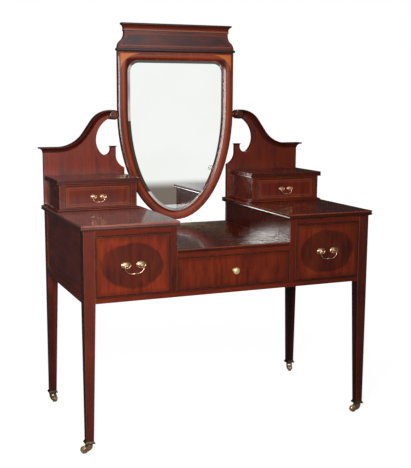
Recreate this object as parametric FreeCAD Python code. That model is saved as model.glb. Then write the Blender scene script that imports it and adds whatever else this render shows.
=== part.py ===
import FreeCAD, Part
import math, os
from FreeCAD import Vector

# Mahogany dressing table: two drawer pedestals on four tapered legs with brass casters,
# a lower kneehole drawer between them, a jewel box on each pedestal and a swing mirror
# hung between two scrolled brackets. Lengths are millimetres. +X is the sitter's right,
# +Y the back and +Z up; the origin is on the floor under the middle of the table.

# Overall sizes
centre_width = 488.0
pedestal_width = 366.0
body_depth = 640.0
underside_height = 580.0
pedestal_rise = 296.0
centre_drop = 110.0
pivot_rise = 384.0

# Legs
leg_size = 44.0
foot_size = 29.5

# Carcass boards
partition_thickness = 25.0
rail_height = 22.0
rail_depth = 60.0
top_rail_height = 24.0
centre_rail_height = 21.0
side_rail_height = 29.0
side_rail_thickness = 20.0
side_panel_recess = 4.0
back_thickness = 12.0
back_recess = 4.0
runner_width = 20.0
guide_height = 22.0

# Tops and their moulded edges
top_thickness = 20.0
top_overhang = 11.0
centre_top_thickness = 12.0
centre_top_overhang = 6.0
edge_round = 6.5
box_edge_round = 3.75
edge_setback = 1.0

# Drawers
drawer_gap = 1.0
runner_gap = 0.3
front_thickness = 20.0
drawer_side = 10.0
drawer_bottom = 6.0
drawer_bottom_lift = 8.0
drawer_side_drop = 4.0
drawer_back_drop = 10.0
drawer_tail_gap = 14.0

# Jewel boxes
box_setback = 403.0
box_outer_inset = 11.0
box_case_height = 109.0
box_outer_stile = 25.0
box_inner_stile = 29.0
box_stile_thickness = 12.0
box_wall = 12.0
box_floor = 13.0
box_top_rail = 9.0
box_back = 8.0
box_guide_height = 15.0
box_base_height = 12.5
box_base_reach = 11.0
box_base_bead = 4.0
box_front_thickness = 14.0
box_drawer_side = 7.0
box_drawer_bottom = 5.0
box_drawer_lift = 4.0
box_drawer_drop = 8.0

# Mirror brackets
bracket_thickness = 22.0
bracket_inner_lap = 6.0
ear_drop = 135.0
cap_height = 24.0
cap_reach = 20.0
cap_fillet = 5.0
neck_angle = 55.0
roll_radius = 21.0
roll_front = 3.0
roll_button = 9.0
stem_offset = 11.0
stem_width = 23.0
hole_width = 66.0
hole_foot_radius = 25.0
hole_foot_depth = 39.0
hole_waist_rise = 25.0
hole_crown_offset = 25.0
hole_crown_drop = 19.0
ear_cap_height = 7.0
ear_cap_reach = 3.5
shoulder_radius = 58.0
shoulder_drop = 40.0

# Swing mirror
mirror_lap = 31.5
mirror_foot_gap = 18.0
straight_rise = 20.0
frame_thickness = 22.0
frame_side = 45.5
frame_foot = 40.0
frame_head = 38.0
bead_height = 12.0
bead_reach = 6.5
frieze_height = 73.0
frieze_waist = 30.0
frieze_curve_height = 62.0
crown_height = 34.0
crown_reach = 13.0
upright_height = 275.0
corner_radius = 52.0
sight_bevel = 5.0
sight_depth = 6.0
rebate_width = 8.0
glass_thickness = 5.0
glass_edge = 3.0
glass_bevel = 20.0
glass_clearance = 0.4
tail_gap = 1.0
pivot_gap = 3.5
pivot_radius = 4.0
pivot_length = 16.0
pivot_root = 10.0
collar_radius = 8.0
collar_gap = 0.3
pin_clearance = 0.05

# Casters
cup_height = 13.0
cup_wall = 2.0
cup_floor = 3.0
cup_lip = 4.5
cup_flare = 7.0
caster_height = 39.0
pin_room = 6.0
wheel_radius = 14.0
wheel_width = 15.0
wheel_crown = 1.5
wheel_trail = 20.5
cheek_thickness = 4.5
wheel_gap = 0.5
axle_radius = 2.5
axle_eye = 5.5
wheel_sides = 32
pin_sides = 12
horn_steps = 5
swivel_radius = 4.0
swivel_head = 5.5
swivel_head_height = 2.0
boss_radius = 11.0
boss_height = 5.0
swivel_gap = 0.3
front_trail_angle = 180.0
rear_left_trail_angle = 280.0
rear_right_trail_angle = 250.0

# Bail handles: spacing, plate width, plate height, stand-off, wire radius, drop, spread
deep_spacing = 60.0
deep_plate_width = 40.0
deep_plate_height = 26.0
deep_stand = 13.0
deep_wire = 2.0
deep_drop = 31.0
deep_spread = 38.0
deep_ball = 4.6
small_spacing = 40.0
small_plate_width = 29.0
small_plate_height = 18.0
small_stand = 10.0
small_wire = 1.5
small_drop = 22.0
small_spread = 26.0
small_ball = 3.4
plate_sides = 20
corner_steps = 2
bend_steps = 6
bar_sides = 8
grip_shares = (0.6, 0.35, 0.2, 0)
grip_swells = (1, 1.5, 1.5, 1.5)
plate_thickness = 1.6
plate_dome = 1.4
plate_border = 4.5

# Kneehole drawer's knob
knob_radius = 13.5
knob_stand = 24.0
knob_neck = 5.0
knob_base = 9.0
knob_base_thickness = 2.5
knob_sides = 28

# Places worked out from the sizes
overrun = 5.0
body_half = centre_width / 2 + pedestal_width
centre_half = centre_width / 2
pedestal_height = underside_height + pedestal_rise
centre_height = pedestal_height - centre_drop
pivot_height = pedestal_height + pivot_rise
front_y = (knob_stand - body_depth - top_overhang) / 2
rear_y = front_y + body_depth
board_underside = pedestal_height - top_thickness
rail_top = underside_height + rail_height
deep_top = board_underside - top_rail_height
centre_underside = centre_height - centre_top_thickness
centre_drawer_top = centre_underside - centre_rail_height
back_inner_y = rear_y - back_recess - back_thickness
leg_inner = body_half - leg_size
partition_outer = centre_half + partition_thickness
panel_inner = body_half - side_rail_thickness
plane_y = rear_y + top_overhang - bracket_thickness
mirror_y = plane_y + bracket_thickness / 2
box_front_y = front_y + box_setback
box_outer = body_half - box_outer_inset
box_inner = partition_outer
box_case_top = pedestal_height + box_case_height
box_top = box_case_top + top_thickness
mirror_half = centre_half + mirror_lap
roll_x = mirror_half + pivot_gap + roll_radius
ear_top = pivot_height - ear_drop
crest_top = pivot_height + roll_radius
crest_rise = crest_top - ear_top


# Outlines: a start point, then a point for a line or a (middle, end) pair for an arc
def edges(steps, place):
    made = []
    start = steps[0]
    for step in steps[1:]:
        if isinstance(step[0], tuple):
            middle, end = step
            made.append(Part.Arc(place(start), place(middle), place(end)).toShape())
        else:
            end = step
            made.append(Part.LineSegment(place(start), place(end)).toShape())
        start = end
    return made


def face(steps, place):
    closed = list(steps) + [steps[0]]
    return Part.Face(Part.Wire(edges(closed, place)))


def upright(y):
    return lambda point: Vector(point[0], y, point[1])


def across(x):
    return lambda point: Vector(x, point[0], point[1])


def plate(steps, y_low, y_high):
    return face(steps, upright(y_low)).extrude(Vector(0, y_high - y_low, 0))


def polar(centre, radius, degrees):
    turn = math.radians(degrees)
    return (centre[0] + radius * math.cos(turn), centre[1] + radius * math.sin(turn))


def turn_to(centre, radius, start_degrees, end_degrees):
    middle = (start_degrees + end_degrees) / 2
    return (polar(centre, radius, middle), polar(centre, radius, end_degrees))


def bounds_box(x_pair, y_pair, z_pair):
    low = Vector(min(x_pair), min(y_pair), min(z_pair))
    high = Vector(max(x_pair), max(y_pair), max(z_pair))
    return Part.makeBox(high.x - low.x, high.y - low.y, high.z - low.z, low)


def mirrored(shapes):
    return [shape.mirror(Vector(0, 0, 0), Vector(1, 0, 0)) for shape in shapes]


def skin(rings):
    # flat faces between loops that have the same number of points
    loops = [rings[0], rings[-1]]
    for low, high in zip(rings, rings[1:]):
        loops += [[low[i - 1], low[i], high[i], high[i - 1]] for i in range(len(low))]
    faces = [Part.Face(Part.makePolygon(loop + [loop[0]])) for loop in loops]
    return Part.makeSolid(Part.makeShell(faces))


def frustum(low_x, low_y, low_z, high_x, high_y, high_z):
    low = [Vector(x, y, low_z) for x, y in corners(low_x, low_y)]
    high = [Vector(x, y, high_z) for x, y in corners(high_x, high_y)]
    return skin([low, high])


def corners(x_pair, y_pair):
    return [(x_pair[0], y_pair[0]), (x_pair[1], y_pair[0]), (x_pair[1], y_pair[1]), (x_pair[0], y_pair[1])]


def ring_loops(steps, sides, place):
    # one loop of corner points for each (along, radius) step
    loops = []
    for along, radius in steps:
        loops.append([place(along, *polar((0, 0), radius, 360 * side / sides)) for side in range(sides)])
    return loops


def rod(start, direction, radius, length):
    return Part.makeCylinder(radius, length, start, direction)


def turned(steps, centre, direction):
    # the steps are (along the axis, radius) pairs, spun about the axis from the centre
    profile = face(steps, lambda point: Vector(point[1], 0, point[0]))
    solid = profile.revolve(Vector(0, 0, 0), Vector(0, 0, 1), 360)
    solid.Placement = FreeCAD.Placement(centre, FreeCAD.Rotation(Vector(0, 0, 1), direction))
    return solid


# Moulded edges: profiles run from the underside up, as (reach outward, height)
def reversed_steps(steps):
    points = [step[1] if isinstance(step[0], tuple) else step for step in steps]
    turned_back = [points[-1]]
    for index in range(len(steps) - 1, 0, -1):
        step = steps[index]
        end = points[index - 1]
        turned_back.append((step[0], end) if isinstance(step[0], tuple) else end)
    return turned_back


def shifted(steps, move):
    return [(move(s[0]), move(s[1])) if isinstance(s[0], tuple) else move(s) for s in steps]


def section(low, high, bottom, height, low_profile, high_profile):
    plain = [(0, 0), (0, height)]
    left = shifted(low_profile or plain, lambda p: (low - p[0], bottom + p[1]))
    right = shifted(high_profile or plain, lambda p: (high + p[0], bottom + p[1]))
    return left + reversed_steps(right)


def moulded_board(x_pair, y_pair, bottom, height, profile, sides):
    # the plain board's faces are at the pairs; the profile stands out from the named sides
    reach = max(abs(s[1][0]) if isinstance(s[0], tuple) else abs(s[0]) for s in profile) + overrun
    chosen = {side: profile for side in sides}
    long_face = face(section(y_pair[0], y_pair[1], bottom, height, chosen.get("front"), chosen.get("back")),
                     across(x_pair[0] - reach))
    cross_face = face(section(x_pair[0], x_pair[1], bottom, height, chosen.get("left"), chosen.get("right")),
                      upright(y_pair[0] - reach))
    length = x_pair[1] - x_pair[0] + reach + reach
    depth = y_pair[1] - y_pair[0] + reach + reach
    return long_face.extrude(Vector(length, 0, 0)).common(cross_face.extrude(Vector(0, depth, 0)))


def thumb_edge(reach, height, radius):
    # a half-round below a square fillet, set back a little
    return [(0, 0), (reach - radius, 0), ((reach, radius), (reach - radius, radius + radius)),
            (reach - edge_setback, radius + radius), (reach - edge_setback, height), (0, height)]


def save(node, solids):
    shape = Part.makeCompound(solids) if len(solids) > 1 else solids[0]
    shape.exportStep(os.path.join("parts", node + ".step"))


def save_pair(name, solids):
    # the solids are the right-hand ones
    save("right_" + name, solids)
    save("left_" + name, mirrored(solids))


# Legs
def foot_edge(height):
    share = (height - caster_height) / (underside_height - caster_height)
    return foot_size + (leg_size - foot_size) * share


def leg_span(height, inset=0):
    # the outer faces stand upright; the inner faces taper
    size = foot_edge(height)
    return (body_half - size + inset, body_half - inset), (front_y + inset, front_y + size - inset)


def front_leg():
    post = bounds_box((leg_inner, body_half), (front_y, front_y + leg_size), (underside_height, board_underside))
    cup_top = caster_height + cup_height
    foot = frustum(*leg_span(cup_top), cup_top, *leg_span(underside_height), underside_height)
    tenon_foot = caster_height + cup_floor + pin_room
    tenon = frustum(*leg_span(tenon_foot, cup_wall), tenon_foot, *leg_span(cup_top, cup_wall), cup_top)
    return post.fuse([foot, tenon]).removeSplitter()


def to_rear(shape):
    middle = (front_y + rear_y) / 2
    return shape.mirror(Vector(0, middle, 0), Vector(0, 1, 0))


def build_legs():
    leg = front_leg()
    save_pair_as("front", "leg", [leg])
    save_pair_as("rear", "leg", [to_rear(leg)])


def save_pair_as(end, name, solids):
    save(end + "_right_" + name, solids)
    save(end + "_left_" + name, mirrored(solids))


# Carcass
def build_sides():
    y_pair = (front_y + leg_size, rear_y - leg_size)
    rail_end = underside_height + side_rail_height
    rail = bounds_box((body_half - side_rail_thickness, body_half), y_pair, (underside_height, rail_end))
    panel = bounds_box((panel_inner, body_half - side_panel_recess), y_pair, (rail_end, board_underside))
    save_pair("side_panel", [panel])
    save("side_bottom_rails", [rail] + mirrored([rail]))


def front_rail(x_pair, z_pair):
    return bounds_box(x_pair, (front_y, front_y + rail_depth), z_pair)


def build_rails():
    bottom = front_rail((-leg_inner, leg_inner), (underside_height, rail_top))
    centre = front_rail((-centre_half, centre_half), (centre_drawer_top, centre_underside))
    right = front_rail((partition_outer, leg_inner), (deep_top, board_underside))
    save("front_rails", [bottom, centre, right] + mirrored([right]))


def build_partitions():
    wall = bounds_box((centre_half, partition_outer), (front_y, back_inner_y), (underside_height, board_underside))
    notch = bounds_box((centre_half - overrun, partition_outer + overrun), (front_y - overrun, front_y + rail_depth),
                       (underside_height - overrun, rail_top))
    save_pair("partition", [wall.cut(notch)])


def build_back():
    # one board across the back, cut down behind the kneehole
    outline = [(-leg_inner, underside_height), (leg_inner, underside_height), (leg_inner, board_underside),
               (centre_half, board_underside), (centre_half, centre_underside), (-centre_half, centre_underside),
               (-centre_half, board_underside), (-leg_inner, board_underside)]
    save("back_panel", [plate(outline, back_inner_y, rear_y - back_recess)])


def build_runners():
    y_pair = (front_y + rail_depth, back_inner_y)
    outer_y = (front_y + rail_depth, rear_y - leg_size)
    side_face = panel_inner
    lip = leg_inner
    # the outer runner carries a guide strip that keeps the drawer off the panel
    outer = bounds_box((lip - runner_width, side_face), outer_y, (underside_height, rail_top))
    guide = bounds_box((lip, side_face), outer_y, (rail_top, rail_top + guide_height))
    inner = bounds_box((partition_outer, partition_outer + runner_width), y_pair, (underside_height, rail_top))
    centre = bounds_box((centre_half - runner_width, centre_half), y_pair, (underside_height, rail_top))
    outer_kicker = bounds_box((lip - runner_width, side_face), outer_y, (deep_top, board_underside))
    inner_kicker = bounds_box((partition_outer, partition_outer + runner_width), y_pair, (deep_top, board_underside))
    centre_kicker = bounds_box((centre_half - runner_width, centre_half), y_pair, (centre_drawer_top, centre_underside))
    right = [outer, guide, inner, centre, outer_kicker, inner_kicker, centre_kicker]
    save("drawer_runners", right + mirrored(right))


def build_tops():
    thumb = thumb_edge(top_overhang, top_thickness, edge_round)
    right = moulded_board((centre_half, body_half), (front_y, rear_y + top_overhang), board_underside,
                          top_thickness, thumb, ("front", "left", "right"))
    save_pair("pedestal_top", [right])
    bullnose = [(0, 0), ((centre_top_overhang, centre_top_thickness / 2), (0, centre_top_thickness))]
    centre = moulded_board((-centre_half, centre_half), (front_y, rear_y), centre_underside,
                           centre_top_thickness, bullnose, ("front",))
    save("centre_top", [centre])


# Jewel boxes
def build_boxes():
    x_pair = (box_inner, box_outer)
    y_pair = (box_front_y, plane_y)
    z_pair = (pedestal_height, box_case_top)
    behind = box_front_y + box_stile_thickness
    opening_floor = pedestal_height + box_floor
    opening_top = box_case_top - box_top_rail
    inner_stile_edge = box_inner + box_inner_stile
    outer_stile_edge = box_outer - box_outer_stile
    inner_face = box_inner + box_wall
    outer_face = box_outer - box_wall
    back_y = plane_y - box_back
    inner_wall = bounds_box((box_inner, inner_face), (behind, plane_y), z_pair)
    outer_wall = bounds_box((outer_face, box_outer), (behind, plane_y), z_pair)
    inner_stile = bounds_box((box_inner, inner_stile_edge), (box_front_y, behind), z_pair)
    outer_stile = bounds_box((outer_stile_edge, box_outer), (box_front_y, behind), z_pair)
    floor_board = bounds_box((inner_face, outer_face), (behind, plane_y), (pedestal_height, opening_floor))
    front_strip = bounds_box((inner_stile_edge, outer_stile_edge), (box_front_y, behind),
                             (pedestal_height, opening_floor))
    head_strip = bounds_box((inner_stile_edge, outer_stile_edge), (box_front_y, behind),
                            (opening_top, box_case_top))
    back = bounds_box((inner_face, outer_face), (back_y, plane_y), (opening_floor, box_case_top))
    guide_z = (opening_floor, opening_floor + box_guide_height)
    inner_guide = bounds_box((inner_face, inner_stile_edge), (behind, back_y), guide_z)
    outer_guide = bounds_box((outer_stile_edge, outer_face), (behind, back_y), guide_z)
    case = [inner_wall, outer_wall, inner_stile, outer_stile, floor_board, front_strip, head_strip, back,
            inner_guide, outer_guide]
    save_pair("jewel_box_case", case)

    # a half-round at the foot with a hollow above it
    bead_top = 2 * box_base_bead
    bead_root = box_base_reach - box_base_bead
    hollow_share = 0.3
    hollow_turn = (hollow_share * bead_root, bead_top + hollow_share * (box_base_height - bead_top))
    base_steps = [(0, 0), (bead_root, 0), ((box_base_reach, box_base_bead), (bead_root, bead_top)),
                  (bead_root - edge_setback, bead_top), (hollow_turn, (edge_setback, box_base_height)),
                  (0, box_base_height)]
    base = moulded_board(x_pair, y_pair, pedestal_height, box_base_height, base_steps, ("front", "left", "right"))
    base_strip = base.cut(bounds_box(x_pair, (box_front_y, plane_y + overrun),
                                     (pedestal_height - overrun, box_case_top)))
    save_pair("jewel_box_base_moulding", [base_strip])

    thumb = thumb_edge(top_overhang, top_thickness, box_edge_round)
    top = moulded_board(x_pair, y_pair, box_case_top, top_thickness, thumb, ("front", "left", "right"))
    save_pair("jewel_box_top", [top])


# Mirror brackets
def neck_path():
    # flat, hollow bend, straight neck, round bend and flat crest, worked out so that all meet smoothly
    span = body_half - roll_x
    flat_share = 0.206
    crest_share = 0.028
    round_share = 0.385
    flat_end = body_half - flat_share * span
    crest_start = roll_x + crest_share * span
    run = flat_end - crest_start
    sine = math.sin(math.radians(neck_angle))
    cosine = math.cos(math.radians(neck_angle))
    both = (run * sine - crest_rise * cosine) / (1 - cosine)
    round_radius = cap_height + round_share * (both - cap_height)
    hollow_radius = both - round_radius
    hollow_centre = (flat_end, ear_top + hollow_radius)
    round_centre = (crest_start, crest_top - round_radius)
    return flat_end, crest_start, hollow_centre, hollow_radius, round_centre, round_radius


def bracket_board():
    flat_end, crest_start, hollow_centre, hollow_radius, round_centre, round_radius = neck_path()
    inner = centre_half + bracket_inner_lap
    stem_inner = roll_x - stem_offset
    stem_outer = stem_inner + stem_width
    stem_top = ear_top - ear_cap_height
    shoulder_centre = (stem_inner - shoulder_radius, ear_top - shoulder_drop)
    lap = math.degrees(math.acos((inner - shoulder_centre[0]) / shoulder_radius))
    foot_centre = (stem_outer + hole_foot_radius, ear_top - hole_foot_depth + hole_foot_radius)
    waist = stem_outer + hole_width
    waist_z = ear_top + hole_waist_rise
    reach = waist - foot_centre[0]
    rise = waist_z - foot_centre[1]
    side_radius = (reach ** 2 + rise ** 2 - hole_foot_radius ** 2) / (2 * (reach - hole_foot_radius))
    side_centre = (waist - side_radius, waist_z)
    side_angle = math.degrees(math.atan2(foot_centre[1] - side_centre[1], foot_centre[0] - side_centre[0]))
    crown = (roll_x + hole_crown_offset, pivot_height - hole_crown_drop)
    over = waist - crown[0]
    climb = crown[1] - waist_z
    crown_radius = (over ** 2 + climb ** 2) / (2 * over)
    crown_centre = (waist - crown_radius, waist_z)
    crown_angle = math.degrees(math.atan2(crown[1] - crown_centre[1], crown[0] - crown_centre[0]))
    neck_end = 90 - neck_angle
    under_round = round_radius - cap_height
    under_hollow = hollow_radius + cap_height
    outline = [
        (inner, pedestal_height),
        (inner, shoulder_centre[1] - shoulder_radius * math.sin(math.radians(lap))),
        turn_to(shoulder_centre, shoulder_radius, -lap, 0),
        (stem_inner, stem_top),
        (stem_outer, stem_top),
        (stem_outer, foot_centre[1]),
        turn_to(foot_centre, hole_foot_radius, 180, 360 + side_angle),
        turn_to(side_centre, side_radius, side_angle, 0),
        turn_to(crown_centre, crown_radius, 0, crown_angle),
        (roll_x, pivot_height - roll_radius),
        (roll_x, crest_top - cap_height),
        (crest_start, crest_top - cap_height),
        turn_to(round_centre, under_round, 90, neck_end),
        polar(hollow_centre, under_hollow, 180 + neck_end),
        turn_to(hollow_centre, under_hollow, 180 + neck_end, 270),
        (body_half, ear_top - cap_height),
        (body_half, pedestal_height)]
    return plate(outline, plane_y, plane_y + bracket_thickness).cut(roll_blank())


def roll_blank():
    return rod(Vector(roll_x, plane_y - cap_reach, pivot_height), Vector(0, 1, 0), roll_radius,
               bracket_thickness + cap_reach)


def cap_profile():
    # the hollow below the fillet is drawn as short straight lengths
    hollow = cap_height - cap_fillet
    hollow_shares = ((0.1, 0.34), (0.3, 0.7), (0.66, 0.94), (1, 1))
    steps = [(across * cap_reach, up * hollow) for across, up in hollow_shares]
    return [(0, 0)] + steps + [(cap_reach, cap_height), (0, cap_height)]


def bracket_cap():
    # the moulding follows the neck: straight lengths are drawn out, bends are turned about their centres
    flat_end, crest_start, hollow_centre, hollow_radius, round_centre, round_radius = neck_path()
    y_back = plane_y + bracket_thickness
    underside = ear_top - cap_height
    outer = moulded_board((flat_end, body_half), (plane_y, y_back), underside, cap_height, cap_profile(),
                          ("front", "right"))
    outer = outer.common(bounds_box((flat_end, body_half + cap_reach), (plane_y - cap_reach, y_back),
                                    (underside, ear_top)))
    start = face(section(plane_y, y_back, underside, cap_height, cap_profile(), None), across(flat_end))
    about_y = Vector(0, 1, 0)
    hollow_at = Vector(hollow_centre[0], 0, hollow_centre[1])
    round_at = Vector(round_centre[0], 0, round_centre[1])
    hollow = start.revolve(hollow_at, about_y, neck_angle)
    tilted = start.copy()
    tilted.rotate(hollow_at, about_y, neck_angle)
    neck_end = 90 - neck_angle
    leave = polar(hollow_centre, hollow_radius, 180 + neck_end)
    meet = polar(round_centre, round_radius, neck_end)
    neck = tilted.extrude(Vector(meet[0] - leave[0], 0, meet[1] - leave[1]))
    tilted.translate(Vector(meet[0] - leave[0], 0, meet[1] - leave[1]))
    rounded = tilted.revolve(round_at, Vector(0, -1, 0), neck_angle)
    crest = face(section(plane_y, y_back, crest_top - cap_height, cap_height, cap_profile(), None),
                 across(crest_start)).extrude(Vector(roll_x - crest_start, 0, 0))
    return outer.fuse([hollow, neck, rounded, crest]).removeSplitter().cut(roll_blank())


def bracket_roll():
    # a turned roll with a ringed face, bored for the pivot pin
    face_y = plane_y - cap_reach - roll_front
    length = plane_y + bracket_thickness - face_y
    ring = (roll_radius + roll_button) / 2
    steps = [(0, 0), (0, roll_button), (roll_front, roll_button), (roll_front, ring), (0, ring),
             (0, roll_radius), (length, roll_radius), (length, 0)]
    roll = turned(steps, Vector(roll_x, face_y, pivot_height), Vector(0, 1, 0))
    return roll.cut(pivot_shaft(roll_x - pivot_root, pivot_radius))


def pivot_shaft(outer_x, radius):
    inner_x = mirror_half - pivot_length
    return rod(Vector(inner_x, mirror_y, pivot_height), Vector(1, 0, 0), radius, outer_x - inner_x)


def ear_cap():
    stem_inner = roll_x - stem_offset
    x_pair = (stem_inner, stem_inner + stem_width)
    y_pair = (plane_y, plane_y + bracket_thickness)
    bend_share = 0.3
    steps = [(0, 0), ((bend_share * ear_cap_reach, ear_cap_height / 3), (ear_cap_reach, ear_cap_height / 2)),
             (ear_cap_reach, ear_cap_height), (0, ear_cap_height)]
    return moulded_board(x_pair, y_pair, ear_top - ear_cap_height, ear_cap_height, steps,
                         ("front", "left", "right"))


def build_brackets():
    save_pair("mirror_bracket", [bracket_board()])
    save_pair("bracket_moulding", [bracket_cap(), bracket_roll(), ear_cap()])
    shaft = pivot_shaft(roll_x - pivot_root, pivot_radius)
    collar_x = mirror_half + collar_gap
    collar = rod(Vector(collar_x, mirror_y, pivot_height), Vector(1, 0, 0), collar_radius, pivot_gap - collar_gap)
    pin = shaft.fuse(collar).removeSplitter()
    save("mirror_pivot_pins", [pin] + mirrored([pin]))


# Swing mirror
spring = pivot_height + straight_rise
frame_top = pivot_height + upright_height
mirror_foot = centre_height + mirror_foot_gap


def shield(half, foot, head, radius, y):
    # half an ellipse below and straight sides above, with rounded top corners if a radius is given
    centre = Vector(0, y, spring)
    ellipse = Part.Ellipse(Vector(0, y, foot), Vector(half, y, spring), centre)
    low = Part.ArcOfEllipse(ellipse, -math.pi / 2, math.pi / 2).toShape()
    turn = (half - radius, head - radius)
    other = (-turn[0], turn[1])
    if radius:
        steps = [(half, spring), (half, turn[1]), turn_to(turn, radius, 0, 90), (-turn[0], head),
                 turn_to(other, radius, 90, 180), (-half, spring)]
    else:
        steps = [(half, spring), (half, head), (-half, head), (-half, spring)]
    return Part.Wire([low] + edges(steps, upright(y)))


def sight(widen, y):
    # the frame's opening, widened all round
    return shield(mirror_half - frame_side + widen, mirror_foot + frame_foot - widen,
                  frame_top - frame_head + widen, corner_radius + widen, y)


def slab(wire, thickness):
    return Part.Face(wire).extrude(Vector(0, thickness, 0))


def between(near, far):
    return Part.makeLoft([near, far], True, True)


def build_mirror():
    y_front = plane_y
    glass_y = y_front + sight_depth + edge_setback
    outer = slab(shield(mirror_half, mirror_foot, frame_top, 0, y_front), frame_thickness)
    through = slab(sight(0, y_front - overrun), frame_thickness + overrun + overrun)
    bevel = between(sight(sight_bevel, y_front), sight(0, y_front + sight_depth))
    rebate = slab(sight(rebate_width, glass_y), frame_thickness)
    frame = outer.cut(through).cut(bevel).cut(rebate)
    save("mirror_frame", [frame.cut(pivot_socket()).cut(pivot_socket().mirror(Vector(0, 0, 0), Vector(1, 0, 0)))])

    tight = rebate_width - glass_clearance
    lip_y = glass_y + glass_thickness - glass_edge
    lens = between(sight(rebate_width - glass_bevel, glass_y), sight(tight, lip_y))
    save("mirror_glass", [slab(sight(tight, lip_y), glass_edge).fuse(lens).removeSplitter()])
    board_y = glass_y + glass_thickness
    board_thickness = y_front + frame_thickness - tail_gap - board_y
    save("mirror_backboard", [slab(sight(tight, board_y), board_thickness)])


def pivot_socket():
    return pivot_shaft(mirror_half + overrun, pivot_radius + pin_clearance)


def build_mirror_head():
    y_pair = (plane_y, plane_y + frame_thickness)
    frieze_foot = frame_top + bead_height
    frieze_top = frieze_foot + frieze_height
    waist = mirror_half - frieze_waist
    # each end is a cyma: a round, then a hollow that ends upright
    run = frieze_waist / 2
    rise = frieze_curve_height / 2
    radius = (run ** 2 + rise ** 2) / (2 * run)
    angle = math.degrees(math.asin(rise / radius))
    low_centre = (mirror_half - radius, frieze_foot)
    high_centre = (waist + radius, frieze_foot + frieze_curve_height)
    right_end = [(mirror_half, frieze_foot), turn_to(low_centre, radius, 0, angle),
                 turn_to(high_centre, radius, 180 + angle, 180), (waist, frieze_top)]
    left_end = reversed_steps(shifted(right_end, lambda p: (-p[0], p[1])))
    save("mirror_frieze", [plate(right_end + left_end, *y_pair)])

    half_round = [(0, 0), ((bead_reach, bead_height / 2), (0, bead_height))]
    bead = moulded_board((-mirror_half, mirror_half), y_pair, frame_top, bead_height, half_round,
                         ("front", "left", "right"))
    lower_share = 0.24
    bead_share = 0.2
    fillet_share = 0.2
    foot = bead_share * crown_reach
    hollow_foot = bead_share * crown_height
    hollow_top = crown_height * (1 - fillet_share)
    middle = (foot + lower_share * (crown_reach - foot), hollow_top - lower_share * (crown_height - hollow_foot))
    crown_steps = [(0, 0), (foot, 0), (foot, hollow_foot),
                   (middle, (crown_reach, hollow_top)), (crown_reach, crown_height), (0, crown_height)]
    crown = moulded_board((-waist, waist), y_pair, frieze_top, crown_height, crown_steps,
                          ("front", "left", "right"))
    save("mirror_cornice", [bead, crown])


# Drawers
def drawer_parts(x_pair, y_face, z_pair, back_y, front_size, side, bottom, lift, drop):
    low, high = x_pair[0] + drawer_gap, x_pair[1] - drawer_gap
    front = bounds_box((low, high), (y_face, y_face + front_size), (z_pair[0] + drawer_gap, z_pair[1] - drawer_gap))
    behind = y_face + front_size
    tail = back_y - drawer_tail_gap
    foot = z_pair[0] + runner_gap
    side_z = (foot, z_pair[1] - drop)
    near = bounds_box((low, low + side), (behind, tail), side_z)
    far = bounds_box((high - side, high), (behind, tail), side_z)
    inside = (low + side, high - side)
    floor_z = (foot + lift, foot + lift + bottom)
    floor_board = bounds_box(inside, (behind, tail), floor_z)
    back = bounds_box(inside, (tail - side, tail), (floor_z[1], side_z[1] - drawer_back_drop))
    return front, [near, far, floor_board, back]


def build_drawers():
    front, box = drawer_parts((partition_outer, leg_inner), front_y, (rail_top, deep_top), back_inner_y,
                              front_thickness, drawer_side, drawer_bottom, drawer_bottom_lift, drawer_side_drop)
    save_pair("deep_drawer_front", [front])
    save_pair("deep_drawer_box", box)
    front, box = drawer_parts((-centre_half, centre_half), front_y, (rail_top, centre_drawer_top), back_inner_y,
                              front_thickness, drawer_side, drawer_bottom, drawer_bottom_lift, drawer_side_drop)
    save("centre_drawer_front", [front])
    save("centre_drawer_box", box)
    opening = (box_inner + box_inner_stile, box_outer - box_outer_stile)
    z_pair = (pedestal_height + box_floor, box_case_top - box_top_rail)
    front, box = drawer_parts(opening, box_front_y, z_pair, plane_y - box_back, box_front_thickness,
                              box_drawer_side, box_drawer_bottom, box_drawer_lift, box_drawer_drop)
    save_pair("jewel_drawer_front", [front])
    save_pair("jewel_drawer_box", box)

    knob_z = (rail_top + centre_drawer_top) / 2
    head = knob_stand - knob_neck
    waist = knob_neck + knob_base_thickness
    steps = [(0, knob_base), (knob_base_thickness, knob_base), (waist, knob_neck), (head - knob_neck, knob_neck),
             (head, knob_radius), (head + knob_base_thickness, knob_radius), (knob_stand, knob_base)]
    place = lambda along, side, up: Vector(side, front_y - along, knob_z + up)
    save("centre_drawer_knob", [skin(ring_loops(steps, knob_sides, place))])


# Bail handles
def rosettes(x, y, z, spacing, width, height, stand, wire, ball):
    # an oval plate with a raised middle, a post and a bored knuckle for the bail's pintle
    made = []
    knuckle_share = 0.75
    raised = plate_thickness + plate_dome
    dome = width - 2 * plate_border
    steps = [(0, width / 2), (plate_thickness, width / 2), (plate_thickness, dome / 2), (raised, dome / 2 - plate_dome)]
    for centre in (x - spacing / 2, x + spacing / 2):
        oval = lambda along, side, up: Vector(centre + side, y - along, z + up * height / width)
        knuckle = lambda along, side, up: Vector(centre + along, y - stand + side, z + up)
        half = knuckle_share * ball
        disc = skin(ring_loops(steps, plate_sides, oval))
        stem = lambda along, side, up: Vector(centre + side, y - along, z + up)
        post = skin(ring_loops([(0, ball - plate_dome), (stand, ball - plate_dome)], bar_sides, stem))
        eye = skin(ring_loops([(-half, ball - plate_dome), (-half / 2, ball), (half / 2, ball),
                               (half, ball - plate_dome)], bar_sides, knuckle))
        bore = rod(knuckle(-width, 0, 0), Vector(1, 0, 0), wire + pin_clearance, width + width)
        made.append(disc.fuse([post, eye]).removeSplitter().cut(bore))
    return made


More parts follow.
